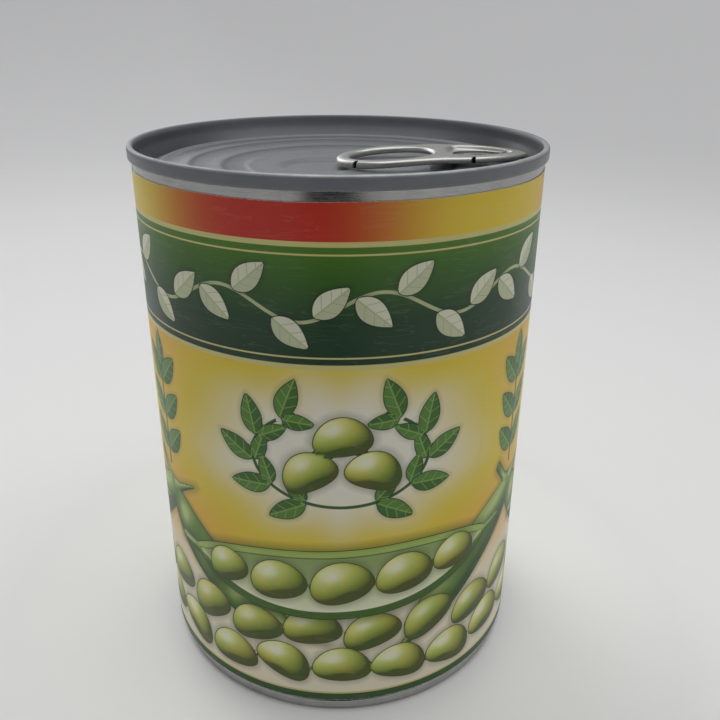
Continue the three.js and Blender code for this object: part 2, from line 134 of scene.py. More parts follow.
def make_piece(name, points, wrap, quads, finish, fields=None, sharp=40):
    """A closed mesh from points in millimetres, their map and their faces. Points that meet are merged,
    so that edges of a grid close on each other and poles become fans."""
    mesh = bpy.data.meshes.new(name)
    mesh.from_pydata((points.reshape(-1, 3) * MM).tolist(), [], quads.reshape(-1, 4).tolist())
    uv = mesh.uv_layers.new(name="wrap")
    uv.data.foreach_set("uv", wrap.reshape(-1, 2)[quads.ravel()].astype(np.float32).ravel())
    for label, values in (fields or {}).items():
        layer = mesh.attributes.new(label, "FLOAT_VECTOR", "POINT")
        layer.data.foreach_set("vector", values.reshape(-1, 3).astype(np.float32).ravel())
    return finish_mesh(name, mesh, finish, sharp)


def finish_mesh(name, mesh, finish, sharp):
    """Merges a mesh's meeting points, turns its faces outwards and makes it a smooth shaded object."""
    shell = bmesh.new()
    shell.from_mesh(mesh)
    bmesh.ops.remove_doubles(shell, verts=shell.verts, dist=0.001 * MM)
    loose = [v for v in shell.verts if not v.link_faces]
    bmesh.ops.delete(shell, geom=loose, context="VERTS")
    bmesh.ops.recalc_face_normals(shell, faces=shell.faces)
    if shell.calc_volume(signed=True) < 0:
        bmesh.ops.reverse_faces(shell, faces=shell.faces)
    shell.to_mesh(mesh)
    shell.free()
    mesh.polygons.foreach_set("use_smooth", [True] * len(mesh.polygons))
    mesh.set_sharp_from_angle(angle=math.radians(sharp))
    mesh.materials.append(finish)
    piece = bpy.data.objects.new(name, mesh)
    bpy.context.scene.collection.objects.link(piece)
    return piece


def add_node(tree, kind, inputs=None, **settings):
    """Adds a shader node, sets it, and fills its inputs with numbers or links them from sockets."""
    made = tree.nodes.new(kind)
    for name, value in settings.items():
        setattr(made, name, value)
    for name, value in (inputs or {}).items():
        if isinstance(value, bpy.types.NodeSocket):
            tree.links.new(value, made.inputs[name])
        else:
            made.inputs[name].default_value = value
    return made


def maths(tree, operation, *values):
    """The result of a Math node on numbers or sockets."""
    return add_node(tree, "ShaderNodeMath", dict(enumerate(values)), operation=operation).outputs[0]


def times(tree, first, second):
    """The product of two numbers or sockets, at least one of them a socket."""
    return maths(tree, "MULTIPLY", first, second)


def between(tree, value, low, high, start=0.0, end=1.0):
    """A value taken from one range to another, and held at the ends."""
    made = add_node(tree, "ShaderNodeMapRange", {
        "Value": value, "From Min": low, "From Max": high, "To Min": start, "To Max": end,
    })
    return made.outputs["Result"]


def blend_colours(tree, amount, under, over):
    """Colour `over` laid on colour `under` by an amount from 0 to 1."""
    under, over = ((*tone, 1) if isinstance(tone, tuple) else tone for tone in (under, over))
    return add_node(tree, "ShaderNodeMix", {0: amount, 6: under, 7: over}, data_type="RGBA").outputs[2]


def noise(tree, place, scale, detail, **more):
    """The value of a noise texture, round 0.5, at coordinates."""
    inputs = {"Vector": place, "Scale": scale, "Detail": detail, **more}
    return add_node(tree, "ShaderNodeTexNoise", inputs).outputs["Fac"]


def add_relief(tree, shader, height, strength, depth, **settings):
    """Bends a shader's normals by a height from 0 to 1 that stands for a depth in millimetres."""
    bump = add_node(tree, "ShaderNodeBump", {
        "Height": height, "Strength": strength, "Distance": depth * MM,
    }, **settings)
    tree.links.new(bump.outputs[0], shader.inputs["Normal"])


def new_group(name, inputs, outputs):
    """A shader node group with named number, vector or colour sockets, and its two end nodes."""
    tree = bpy.data.node_groups.new(name, "ShaderNodeTree")
    for label, (kind, value) in inputs.items():
        socket = tree.interface.new_socket(label, in_out="INPUT", socket_type=f"NodeSocket{kind}")
        if value is not None:
            socket.default_value = value
    for label in outputs:
        tree.interface.new_socket(label, in_out="OUTPUT", socket_type="NodeSocketFloat")
    return tree, tree.nodes.new("NodeGroupInput").outputs, tree.nodes.new("NodeGroupOutput").inputs


def use_group(tree, group, inputs):
    """Places a node group in a material, with its inputs filled or linked, and gives its outputs."""
    return add_node(tree, "ShaderNodeGroup", inputs, node_tree=group).outputs


def rolled_grain():
    """Streaks left by rolling: noise drawn out along the sheet, on a map in millimetres, as a value
    round 0.5, with a broad mottling of the tin beside it."""
    tree, given, out = new_group("rolled_grain", {
        "Map": ("Vector", None), "Fineness": ("Float", 6.0), "Stretch": ("Float", 30.0),
    }, ("Streaks", "Mottle"))
    split = add_node(tree, "ShaderNodeSeparateXYZ", {"Vector": given["Map"]})
    drawn = add_node(tree, "ShaderNodeCombineXYZ", {
        "X": maths(tree, "DIVIDE", split.outputs["X"], given["Stretch"]),
        "Y": split.outputs["Y"], "Z": split.outputs["Z"],
    })
    streaks = noise(tree, drawn.outputs[0], given["Fineness"], 3.0, Roughness=0.6)
    tree.links.new(streaks, out["Streaks"])
    tree.links.new(noise(tree, given["Map"], 0.22, 4.0, Roughness=0.55), out["Mottle"])
    return tree


def handling_marks():
    """Marks of handling: thin scratches where a drawn-out noise crosses its middle, kept only in a few
    places, and soft smudges. Both are masks from 0 to 1."""
    tree, given, out = new_group("handling_marks", {
        "Map": ("Vector", None), "Scratch size": ("Float", 0.9), "Share": ("Float", 0.3),
    }, ("Scratches", "Smudges"))
    crossed = []
    for turn, drawn in ((0.5, 9.0), (-0.9, 14.0)):
        placed = add_node(tree, "ShaderNodeMapping", {
            "Vector": given["Map"], "Rotation": (0, 0, turn), "Scale": (1 / drawn, 1, 1),
        })
        wave = noise(tree, placed.outputs[0], given["Scratch size"], 2.0)
        off = maths(tree, "ABSOLUTE", maths(tree, "SUBTRACT", wave, 0.5))
        crossed.append(between(tree, off, 0.012, 0.003))
    where = between(tree, maths(tree, "SUBTRACT", noise(tree, given["Map"], 0.16, 3.0), 0.5), 0.12, 0.0)
    chosen = between(tree, where, maths(tree, "SUBTRACT", 1.0, given["Share"]), 1.0)
    lines = times(tree, maths(tree, "MAXIMUM", *crossed), chosen)
    tree.links.new(lines, out["Scratches"])
    smudges = noise(tree, given["Map"], 0.09, 5.0, Roughness=0.62, Distortion=0.8)
    tree.links.new(between(tree, smudges, 0.42, 0.66), out["Smudges"])
    return tree


grain_group = rolled_grain()
marks_group = handling_marks()


def new_finish(name, **settings):
    """A material with only its Principled shader, set to the values that are the same all over."""
    material = bpy.data.materials.new(name)
    material.use_nodes = True
    shader = material.node_tree.nodes["Principled BSDF"]
    for label, value in settings.items():
        shader.inputs[label.replace("_", " ")].default_value = value
    return material, material.node_tree, shader


def sheet_metal(name, dull, bright, rough, stretch=30.0, dent=0.04, **settings):
    """Sheet metal: two tones mixed by the rolling streaks and the mottled tin, duller where smudged,
    brighter in the scratches, with a faint relief of both."""
    material, tree, shader = new_finish(name, **settings)
    wrap = add_node(tree, "ShaderNodeUVMap", uv_map="wrap").outputs[0]
    grain = use_group(tree, grain_group, {"Map": wrap, "Stretch": stretch})
    marks = use_group(tree, marks_group, {"Map": wrap})
    tone = maths(tree, "ADD", times(tree, grain["Streaks"], 0.55),
                 times(tree, grain["Mottle"], 0.45))
    base = blend_colours(tree, between(tree, tone, 0.36, 0.64), dull, bright)
    scratched = blend_colours(tree, times(tree, marks["Scratches"], 0.5), base, bright)
    tree.links.new(scratched, shader.inputs["Base Color"])
    smooth = maths(tree, "ADD", between(tree, grain["Streaks"], 0.3, 0.7, rough - 0.04, rough + 0.05),
                   times(tree, marks["Smudges"], 0.09))
    tree.links.new(smooth, shader.inputs["Roughness"])
    add_relief(tree, shader, maths(tree, "SUBTRACT", grain["Streaks"], marks["Scratches"]), dent, 0.1)
    return material


tinplate = sheet_metal("tinplate", (0.35, 0.35, 0.34), (0.48, 0.48, 0.46), 0.21, dent=0.02, Metallic=1.0)

round_the_can = np.linspace(-math.pi, math.pi, TURNS + 1)
foot_bend = BODY_BEND + [FOOT_RADIUS, 0]
top_bend = BODY_BEND[::-1] * [1, -1] + [BODY_RADIUS, HEIGHT]
body_middle = rounded_line(np.vstack([
    foot_bend, [[FOOT_RADIUS - BODY_PLATE / 2, NECK_LOW], [BODY_RADIUS - BODY_PLATE / 2, NECK_HIGH]],
    top_bend,
]), 0.4)
body_grid, body_wrap = turned(plate_section(body_middle, BODY_PLATE, True), round_the_can)
from_weld = (math.pi - np.abs(round_the_can)) * BODY_RADIUS
weld = WELD_HEIGHT * np.exp(-(from_weld / (WELD_WIDTH / 2)) ** 4)
under_label = (body_grid[..., 2] > NECK_HIGH) & (body_grid[..., 2] < HEIGHT - WELD_STOP)
outer_face = np.hypot(body_grid[..., 0], body_grid[..., 1]) > BODY_RADIUS - BODY_PLATE / 2
raised = 1 + weld * (under_label & outer_face) / BODY_RADIUS
body_grid[..., :2] *= raised[..., None]
can_body = make_piece("can_tube", body_grid, body_wrap, quads_of(body_grid), tinplate)
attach(can_body, "can")
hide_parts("can_body")

# Bottom end: a plain end pressed from tinplate, with an expansion ring, seamed into the necked foot. The
# can stands on the crest of that seam.
BASE_PANEL, BASE_COUNTERSINK = 3.1, 4.1
FOOT_SEAM = 2.5
BASE_RADIUS = 37.0               # of the flat panel, whose grain runs straight across
BASE_RING, RING_INNER, RING_OUTER, RING_SLOPE = 0.45, 18.0, 27.0, 1.0    # depth and edges of its ring
GROOVE_START, GROOVE_END, GROOVE_WALL = 37.9, 38.4, 38.85                # radii of the countersink
HOOK_TOP = 0.95                  # how near its crest an end's hook reaches


def end_fold(length):
    """Middle line of an end's edge in its double seam, from the chuck wall over the crest, down the
    seam's wall and back up inside the body's hook, as (offset from the tube's outside, depth)."""
    turn = length - END_PLATE / 2
    return np.array([
        [CHUCK_WALL, 0.62], [-0.2, 0.17], [0.04, END_PLATE / 2], [0.44, END_PLATE / 2],
        [SEAM_WALL, 0.4], [SEAM_WALL, turn - 0.26], [SEAM_WALL - 0.18, turn],
        [HOOK + 0.14, turn], [HOOK, turn - 0.2], [HOOK, HOOK_TOP],
    ])


base = BASE_PANEL + END_PLATE / 2
base_top = BASE_COUNTERSINK + END_PLATE / 2
base_middle = rounded_line(np.vstack([
    [[0, base], [RING_INNER / 2, base], [RING_INNER, base], [RING_INNER + RING_SLOPE, base + BASE_RING],
     [RING_OUTER - RING_SLOPE, base + BASE_RING], [RING_OUTER, base], [BASE_RADIUS, base],
     [GROOVE_START - 0.4, base_top - 0.15], [GROOVE_START, base_top], [GROOVE_END, base_top],
     [GROOVE_WALL, base_top - 0.5]],
    end_fold(FOOT_SEAM) + [FOOT_RADIUS, 0],
]), 0.5)
base_grid, base_wrap = turned(plate_section(base_middle, END_PLATE, False), round_the_can)
on_panel = np.hypot(base_grid[..., 0], base_grid[..., 1]) < BASE_RADIUS + 0.1
base_wrap = np.where(on_panel[..., None], base_grid[..., :2], base_wrap)
bottom_end = make_piece("bottom_plate", base_grid, base_wrap, quads_of(base_grid), tinplate)
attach(bottom_end, "can")
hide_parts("bottom_end")

# Sealing compound and contents: rubbery compound fills the space above each seam's hook, and the can is
# full of broad beans in brine. The closed seams and lid hide both.
compound, tree, shader = new_finish("seam_compound", Metallic=0.0, Roughness=0.8)
place = add_node(tree, "ShaderNodeTexCoord").outputs["Object"]
speckle = blend_colours(tree, noise(tree, place, 900.0, 3.0), (0.05, 0.05, 0.045), (0.09, 0.09, 0.08))
tree.links.new(speckle, shader.inputs["Base Color"])

bean_skin, tree, shader = new_finish("beans_and_brine", Metallic=0.0, Roughness=0.3)
place = add_node(tree, "ShaderNodeTexCoord").outputs["Object"]
beans = add_node(tree, "ShaderNodeTexVoronoi", {"Vector": place, "Scale": 55.0}, feature="SMOOTH_F1")
beans = beans.outputs["Distance"]
# Bean green that darkens towards the edges of each cell, as painted shade where the beans meet.
skins_and_shade = blend_colours(tree, between(tree, beans, 0.1, 0.7), (0.34, 0.40, 0.12), (0.12, 0.13, 0.04))
tree.links.new(skins_and_shade, shader.inputs["Base Color"])
add_relief(tree, shader, beans, 0.6, 3, invert=True)
hidden = {"seam_gasket_top": compound, "seam_gasket_bottom": compound, "beans_in_brine": bean_skin}
for name, finish in hidden.items():
    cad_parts[name].data.materials.clear()
    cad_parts[name].data.materials.append(finish)

# Lid: an easy-open end pressed from grey-lacquered steel, with a sunken middle under the finger ring,
# two steps, a scored channel near its edge and a deep countersink. Its edge is seamed over the tube.
TOP_SEAM = 2.6
PANEL_OUTER, SCORE_LEVEL, PANEL_MIDDLE, PANEL_CENTRE, COUNTERSINK = 110.8, 110.3, 110.3, 109.85, 109.3
BEAD_RADIUS, BEAD_HALF_WIDTH, BEAD_HEIGHT = 18.6, 1.1, 0.14
INNER_STEP, MIDDLE_STEP = 24.6, 31.0       # radii of the brinks of the two steps
STEP_FALL, STEP_RUN, STEP_SHARE = 1.0, 4.4, 0.62    # each falls steeply at first and then runs out
RIDGE_RADIUS, RIDGE_HALF_WIDTH, RIDGE_CREST, RIDGE_LEVEL = 36.6, 1.1, 0.35, 111.2
RIDGE_GAP, RIDGE_FADE = math.radians(13), math.radians(5)   # the ridge stops on both sides of the tab
SCORE_RADIUS, SCORE_HALF_WIDTH, SCORE_DEPTH = 38.6, 0.16, 0.1
PANEL_RADIUS = 39.2
CHUCK_BEND = 112.7               # the wall leans in below this height
PAD_START, PAD_END, PAD_RISE, PAD_HALF_WIDTH, PAD_FADE = 23.0, 35.0, 1.2, 4.2, 2.8
WELL_X, WELL_LENGTH, WELL_WIDTH, WELL_DEPTH = -3.4, 9.6, 8.4, 0.7
WELL_FLOOR = 0.80                # share of the well's size that its flat floor takes up


def smooth_step(value, low, high):
    """0 below low, 1 above high, and 3t^2 - 2t^3 between."""
    t = np.clip((value - low) / (high - low), 0, 1)
    return t * t * (3 - 2 * t)


centre, middle, outer, ridge, channel, groove = (level - END_PLATE / 2 for level in (
    PANEL_CENTRE, PANEL_MIDDLE, PANEL_OUTER, RIDGE_LEVEL, SCORE_LEVEL, COUNTERSINK))
flat_rings = [[radius, centre] for radius in np.linspace(0, BEAD_RADIUS - BEAD_HALF_WIDTH, 32)]
lid_corners = np.vstack([
    flat_rings[-1:],
    [[BEAD_RADIUS, centre + BEAD_HEIGHT], [BEAD_RADIUS + BEAD_HALF_WIDTH, centre],
     [INNER_STEP - STEP_RUN, centre],
     [INNER_STEP - STEP_FALL, middle + STEP_SHARE * (centre - middle)], [INNER_STEP, middle],
     [MIDDLE_STEP - STEP_RUN, middle],
     [MIDDLE_STEP - STEP_FALL, outer + STEP_SHARE * (middle - outer)], [MIDDLE_STEP, outer],
     [RIDGE_RADIUS - RIDGE_HALF_WIDTH, outer],
     [RIDGE_RADIUS - RIDGE_CREST, ridge], [RIDGE_RADIUS + RIDGE_CREST, ridge],
     [RIDGE_RADIUS + RIDGE_HALF_WIDTH, channel]],
    [[SCORE_RADIUS - 0.4, channel], [SCORE_RADIUS + 0.3, channel]],
    [[PANEL_RADIUS, channel], [PANEL_RADIUS + 0.3, channel - 0.3], [PANEL_RADIUS + 0.45, groove + 0.15],
     [PANEL_RADIUS + 0.7, groove], [PANEL_RADIUS + 0.95, groove + 0.12], [PANEL_RADIUS + 1.1, groove + 0.6],
     [BODY_RADIUS + CHUCK_WALL - 0.1, CHUCK_BEND]],
    end_fold(TOP_SEAM) * [1, -1] + [BODY_RADIUS, HEIGHT],
])
lid_middle = np.vstack([flat_rings[:-1], rounded_line(lid_corners, 0.5, steps=4)])
lower_face, upper_face = beside(lid_middle, -END_PLATE / 2), beside(lid_middle, END_PLATE / 2)
clear = np.abs(upper_face[:, 0] - SCORE_RADIUS) > SCORE_HALF_WIDTH
score_at = int(np.argmax(upper_face[clear, 0] > SCORE_RADIUS))
score_line = np.stack([SCORE_RADIUS + SCORE_HALF_WIDTH * np.array([-1.0, -0.35, 0.35, 1.0]),
                       SCORE_LEVEL - SCORE_DEPTH * np.array([0, 1, 1, 0])], axis=1)
upper_face = np.insert(upper_face[clear], score_at, score_line, axis=0)
upper_levels = np.insert(lid_middle[clear, 1], score_at, [channel] * len(score_line))
lid_section = np.vstack([lower_face, upper_face[::-1]])
lid_levels = np.concatenate([lid_middle[:, 1], upper_levels[::-1]])
lid_grid, lid_wrap = turned(lid_section, round_the_can)
x, y = lid_grid[..., 0], lid_grid[..., 1]
pad = smooth_step(x, PAD_START - PAD_RISE, PAD_START) * (
    1 - smooth_step(np.abs(y), PAD_HALF_WIDTH, PAD_HALF_WIDTH + PAD_FADE))
within = np.hypot(x, y) < PAD_END
lid_grid[..., 2] += (outer - lid_levels[:, None]) * pad * within
beside_tab = 1 - smooth_step(np.abs(np.arctan2(y, x)), RIDGE_GAP, RIDGE_GAP + RIDGE_FADE)
ridge_height = np.clip(lid_levels[:, None] - outer, 0, None) * (np.hypot(x, y) < PANEL_RADIUS)
lid_grid[..., 2] -= ridge_height * beside_tab
in_well = np.hypot((x - WELL_X) / WELL_LENGTH, y / WELL_WIDTH)
lid_grid[..., 2] -= WELL_DEPTH * (1 - smooth_step(in_well, WELL_FLOOR, 1.0))
lid_wrap = np.where(within[..., None], lid_grid[..., 1::-1], lid_wrap)

# Colours of painted shade, of painted light low on the rim's wall, and of the rubbed crest's bare metal with
# its painted highlight.
PAINTED_SHADE_TONE, PAINTED_WALL_LIGHT, BARE_CREST_HIGHLIGHT = (0.07, 0.072, 0.078), (0.42, 0.425, 0.44), (0.52, 0.52, 0.515)
WALL_LIGHT_TO, WALL_LIGHT_FROM = 20 * MM, 36 * MM    # how far to each side the painted light on the wall is full, and ends
DARK_FROM, DARK_TO = 26 * MM, 39 * MM      # where the painted shade on the wall starts towards a side, and is darkest
MOST_RUBBED_AND_LIT = (0.35, -0.94, 0)             # direction from the axis in which the crest is rubbed most and its painted highlight is strongest


def lid_paint():
    """Grey lacquer, toned by each point's distance off the can's axis and its depth under the crest: painted
    shade at the foot of each step, painted light low on the rim's inner wall at its front and back,
    painted shade on that wall's two sides, and bare metal where the crest is rubbed through, with a
    painted highlight there that is strongest at the front."""
    material = sheet_metal("lid_lacquer", (0.165, 0.17, 0.182), (0.195, 0.20, 0.213), 0.30,
                           stretch=40.0, dent=0.02, Metallic=0.0, Specular_IOR_Level=0.3)
    tree, shader = material.node_tree, material.node_tree.nodes["Principled BSDF"]
    place = add_node(tree, "ShaderNodeTexCoord").outputs["Object"]
    flat = add_node(tree, "ShaderNodeVectorMath", {0: place, 1: (1, 1, 0)}, operation="MULTIPLY")
    off_axis = add_node(tree, "ShaderNodeVectorMath", {0: flat.outputs[0]}, operation="LENGTH")
    off_axis = maths(tree, "DIVIDE", off_axis.outputs["Value"], MM)
    split = add_node(tree, "ShaderNodeSeparateXYZ", {"Vector": place}).outputs
    depth = maths(tree, "SUBTRACT", HEIGHT, maths(tree, "DIVIDE", split["Z"], MM))
    painted_step_shade = 0.0
    # Painted shade just inside each step's brink, fading in towards the can's middle.
    for brink in (INNER_STEP, MIDDLE_STEP, RIDGE_RADIUS - RIDGE_HALF_WIDTH):
        rising = between(tree, off_axis, brink - STEP_RUN, brink - 0.6)
        cut = between(tree, off_axis, brink, brink - 0.5)
        painted_step_shade = maths(tree, "MAXIMUM", painted_step_shade, times(tree, rising, cut))
    paint = shader.inputs["Base Color"].links[0].from_socket
    paint = blend_colours(tree, times(tree, painted_step_shade, 0.7), paint, PAINTED_SHADE_TONE)
    in_rim = times(tree, between(tree, off_axis, PANEL_RADIUS, PANEL_RADIUS + 0.6),
                   between(tree, off_axis, BODY_RADIUS + 0.1, BODY_RADIUS - 0.1))
    to_side = maths(tree, "ABSOLUTE", split["X"])
    # Painted light: paler low on the rim's inner wall, at its front and back.
    drawn = times(tree, in_rim, between(tree, depth, 1.4, 4.6, 0.0, 0.75))
    drawn = times(tree, drawn, between(tree, to_side, WALL_LIGHT_FROM, WALL_LIGHT_TO))
    paint = blend_colours(tree, drawn, paint, PAINTED_WALL_LIGHT)
    # Painted shade: darker on the rim wall's two sides.
    painted_side_shade = times(tree, in_rim, between(tree, depth, 0.5, 1.2, 0.0, 0.8))
    painted_side_shade = times(tree, painted_side_shade, between(tree, to_side, DARK_FROM, DARK_TO))
    paint = blend_colours(tree, painted_side_shade, paint, PAINTED_SHADE_TONE)
    # The crest rubbed through to bare metal, its colour lightened most at the front as a painted highlight.
    worn = times(tree, between(tree, depth, 0.5, 0.15),
                 between(tree, noise(tree, place, 350.0, 3.0), 0.35, 0.6, 0.55, 0.85))
    front = add_node(tree, "ShaderNodeVectorMath", {0: place, 1: MOST_RUBBED_AND_LIT}, operation="DOT_PRODUCT")
    worn = times(tree, worn, between(tree, front.outputs["Value"], 10 * MM, 38 * MM, 0.1, 1.0))
    tree.links.new(blend_colours(tree, worn, paint, BARE_CREST_HIGHLIGHT), shader.inputs["Base Color"])
    tree.links.new(times(tree, worn, 0.6), shader.inputs["Metallic"])
    smooth = shader.inputs["Roughness"].links[0].from_socket
    matt = between(tree, depth, 0.9, 0.3, 0.0, 0.2)
    tree.links.new(maths(tree, "ADD", smooth, matt), shader.inputs["Roughness"])
    return material


lid_lacquer = lid_paint()
lid = make_piece("ring_pull_lid", lid_grid, lid_wrap, quads_of(lid_grid), lid_lacquer)
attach(lid, "can")
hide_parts("easy_open_end")

# Rivet: a stud drawn up out of the lid's own plate, passed through the tongue and flattened into a
# shallow dished button that holds the ring-pull down.
TONGUE_PLATE = 0.38
RIVET_X, RIVET_STEM, RIVET_HEAD, RIVET_HEIGHT = 28.6, 1.9, 2.9, 0.55
RIVET_BRIM, RIVET_DISH, RIVET_SUNK = 1.5, 1.1, 0.2
rivet_foot = PANEL_OUTER - END_PLATE / 2
rivet_seat = PANEL_OUTER + GAP + TONGUE_PLATE + GAP
rivet_top = rivet_seat + RIVET_HEIGHT
rivet_section = rounded_line([
    [0, rivet_foot], [RIVET_STEM, rivet_foot], [RIVET_STEM, rivet_seat], [RIVET_HEAD, rivet_seat],
    [RIVET_HEAD, rivet_top], [RIVET_BRIM, rivet_top], [RIVET_DISH, rivet_top - RIVET_SUNK],
    [0, rivet_top - RIVET_SUNK - 0.02],
], 0.22)
rivet_grid, rivet_wrap = turned(rivet_section, np.linspace(-math.pi, math.pi, 65))
rivet_grid += [RIVET_X, 0, 0]
rivet = make_piece("lid_rivet", rivet_grid, rivet_wrap, quads_of(rivet_grid), lid_lacquer)
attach(rivet, "can")

# Ring-pull: a strip of tinned steel whose edges are curled under, round the finger ring and round the
# pointed nose. The nose's dish holds a floor with a window in it for the tongue.
TAB_FOOT, RIM_HEIGHT, RIM_WIDTH, CURL = 111.45, 1.3, 2.75, 0.5
CROWN = 0.3                      # how much the rim's top falls from its middle to its edges
RING_END, NOSE_END = -0.7, 39.4
TAB_WIDE_AT, TAB_HALF_WIDTH = 10.0, 10.3
NOSE_FROM, NOSE_HALF_WIDTH, NOSE_FULLNESS, NOSE_POINT = 22.0, 9.6, 1.8, 0.62
RING_DROOP, DROOP_FROM, DROOP_BEND = 1.65, 21.5, 1.3
TOP_SHARE = 0.8                  # how much of the ring's droop its top follows
NOSE_DIP_FROM, NOSE_DIP = 29.0, 0.35
HOLE_END, HOLE_FULLNESS = 19.4, 2.2
BRIDGE_X = 20.9
DISH_START, DISH_END, DISH_WIDE_AT, DISH_HALF_WIDTH, DISH_POINT = 21.6, 35.9, 26.0, 6.5, 0.75
DISH_BEND = 1.7
FLOOR_TOP = 111.95
TAB_SHEET = 0.4
HINGE_X = 35.1
TONGUE_START, TONGUE_ROUND, TONGUE_TAPER, TONGUE_BEND = 24.3, 2.6, 31.0, 32.4
TONGUE_HALF_WIDTH, BEND_HALF_WIDTH, TONGUE_SLOT = 3.4, 0.95, 0.7
CURL_LIP = 1.3                   # how far the curled edge reaches in under the tab
LIP_SHARE = 0.3                  # how much of the nose's dip the curl's underside follows
NOTCHES = (2.9, 26.5)            # X of the relief slots in the curl, on both sides
NOTCH_WIDTH, NOTCH_DEPTH = 0.75, 1.0
NOTCH_ROWS = (10, 8)             # rows of the skin above and below the outer side that a slot cuts
SLOT_SHADE = (0.012, 0.012, 0.013)
DIMPLE_X, DIMPLE_RADIUS, DIMPLE_DEPTH = 21.2, 1.1, 0.16


def outline_level(x, y):
    """1 on the tab's outline and less inside: an ellipse round the ring, |y| over the half width along
    the waist, and (u^p + |y/w|^q)^(1/q) at the nose, with u the way along it."""
    ring = np.hypot((x - TAB_WIDE_AT) / (TAB_WIDE_AT - RING_END), y / TAB_HALF_WIDTH)
    waist = smooth_step(x, TAB_WIDE_AT, NOSE_FROM)
    waist = np.abs(y) / (TAB_HALF_WIDTH + (NOSE_HALF_WIDTH - TAB_HALF_WIDTH) * waist)
    u = np.clip((x - NOSE_FROM) / (NOSE_END - NOSE_FROM), 0, None)
    nose = (u ** NOSE_FULLNESS + (np.abs(y) / NOSE_HALF_WIDTH) ** (1 / NOSE_POINT)) ** NOSE_POINT
    return np.where(x < TAB_WIDE_AT, ring, np.where(x < NOSE_FROM, waist, nose))


def hole_level(x, y):
    """1 on the finger hole's outline: an oval |x|^p + |y|^p = 1, a little squarer than an ellipse."""
    start = RING_END + RIM_WIDTH
    along = np.abs(x - (start + HOLE_END) / 2) / ((HOLE_END - start) / 2)
    across = np.abs(y) / (TAB_HALF_WIDTH - RIM_WIDTH)
    return (along ** HOLE_FULLNESS + across ** HOLE_FULLNESS) ** (1 / HOLE_FULLNESS)


def dish_level(x, y):
    """1 on the dish's outline: an oval towards the ring, and a point towards the nose."""
    across = np.abs(y) / DISH_HALF_WIDTH
    back = np.clip((DISH_WIDE_AT - x) / (DISH_WIDE_AT - DISH_START), 0, None)
    round_end = (back ** HOLE_FULLNESS + across ** HOLE_FULLNESS) ** (1 / HOLE_FULLNESS)
    ahead = np.clip((x - DISH_WIDE_AT) / (DISH_END - DISH_WIDE_AT), 0, None)
    point_end = (ahead ** DISH_BEND + across ** (1 / DISH_POINT)) ** DISH_POINT
    return np.where(x < DISH_WIDE_AT, round_end, point_end)


def distance_inside(level, x, y, step=0.01):
    """How far a point lies inside a level's outline: (1 - level) over the level's slope."""
    slope = np.hypot(level(x + step, y) - level(x - step, y), level(x, y + step) - level(x, y - step))
    return (1 - level(x, y)) * 2 * step / np.maximum(slope, 1e-9)


def reach_of(level, centre, angles):
    """How far a level's outline lies from a centre along each angle, found by halving."""
    near, far = np.zeros_like(angles), np.full_like(angles, 30.0)
    for _ in range(40):
        halfway = (near + far) / 2
        inside = level(centre + halfway * np.cos(angles), halfway * np.sin(angles)) < 1
        near, far = np.where(inside, halfway, near), np.where(inside, far, halfway)
    return near


def tongue_level(x, y, slot=0.0):
    """1 on the tongue's outline, let out by a slot: half an ellipse, then straight sides that taper to
    the bend line."""
    half, middle = TONGUE_HALF_WIDTH + slot, TONGUE_START + TONGUE_ROUND
    end = np.hypot((x - middle) / (TONGUE_ROUND + slot), y / half)
    taper = np.clip((x - TONGUE_TAPER) / (HINGE_X - TONGUE_TAPER), 0, 1)
    sides = np.abs(y) / (half + (BEND_HALF_WIDTH + slot / 2 - half) * taper)
    past_bend = (x - RIVET_X) / (HINGE_X - RIVET_X)
    return np.where(x < middle, end, np.maximum(sides, past_bend))


def window_level(x, y):
    """1 on the outline of the window that the dish's floor leaves round the tongue."""
    return tongue_level(x, y, TONGUE_SLOT)


def evenly(line, count):
    """Points at equal steps of length along a line."""
    length = np.concatenate([[0], np.cumsum(np.linalg.norm(np.diff(line, axis=0), axis=1))])
    where = np.linspace(0, length[-1], count)
    return np.stack([np.interp(where, length, line[:, k]) for k in (0, 1)], axis=1)


def arc_about(centre, first, last):
    """The part of the tab's outline that is seen from a centre on its middle line between two angles."""
    angles = np.linspace(first, last, 2000)
    reach = reach_of(outline_level, centre, angles)
    return np.stack([centre + reach * np.cos(angles), reach * np.sin(angles)], axis=1)


def tab_top(x, y):
    """Height of the tab's upper side before its edges are rounded: crowned along them, drooping along the
    ring, dipping a little at the nose, pressed down to the dish's floor, with a dimple on the bridge."""
    droop = 1 - np.clip((x - RING_END) / (DROOP_FROM - RING_END), 0, 1)
    dip = np.clip((x - NOSE_DIP_FROM) / (NOSE_END - NOSE_DIP_FROM), 0, 1)
    rim = TAB_FOOT + RIM_HEIGHT - TOP_SHARE * RING_DROOP * droop ** DROOP_BEND - NOSE_DIP * dip ** 2
    rim -= CROWN * (1 - np.clip(to_edge(x, y) / (RIM_WIDTH / 2), 0, 1)) ** 2
    inside = distance_inside(dish_level, x, y)
    slope = 0.5 + 1.1 * (1 - smooth_step(x, DISH_START, DISH_WIDE_AT))
    pressed = smooth_step(inside, -0.2, slope)
    dimple = DIMPLE_DEPTH * (1 - smooth_step(np.hypot(x - DIMPLE_X, y), 0.2, DIMPLE_RADIUS))
    return rim + (FLOOR_TOP - rim) * pressed - dimple * (1 - pressed)


def rounded_edge(inside):
    """How far a curled edge has fallen away at a distance inside it: a quarter circle."""
    short = CURL - np.clip(inside, 0, CURL)
    return CURL - np.sqrt(CURL ** 2 - short ** 2)


def to_edge(x, y):
    """Distance to the nearer curled edge, of the tab or of the finger hole."""
    return np.minimum(distance_inside(outline_level, x, y), -distance_inside(hole_level, x, y))


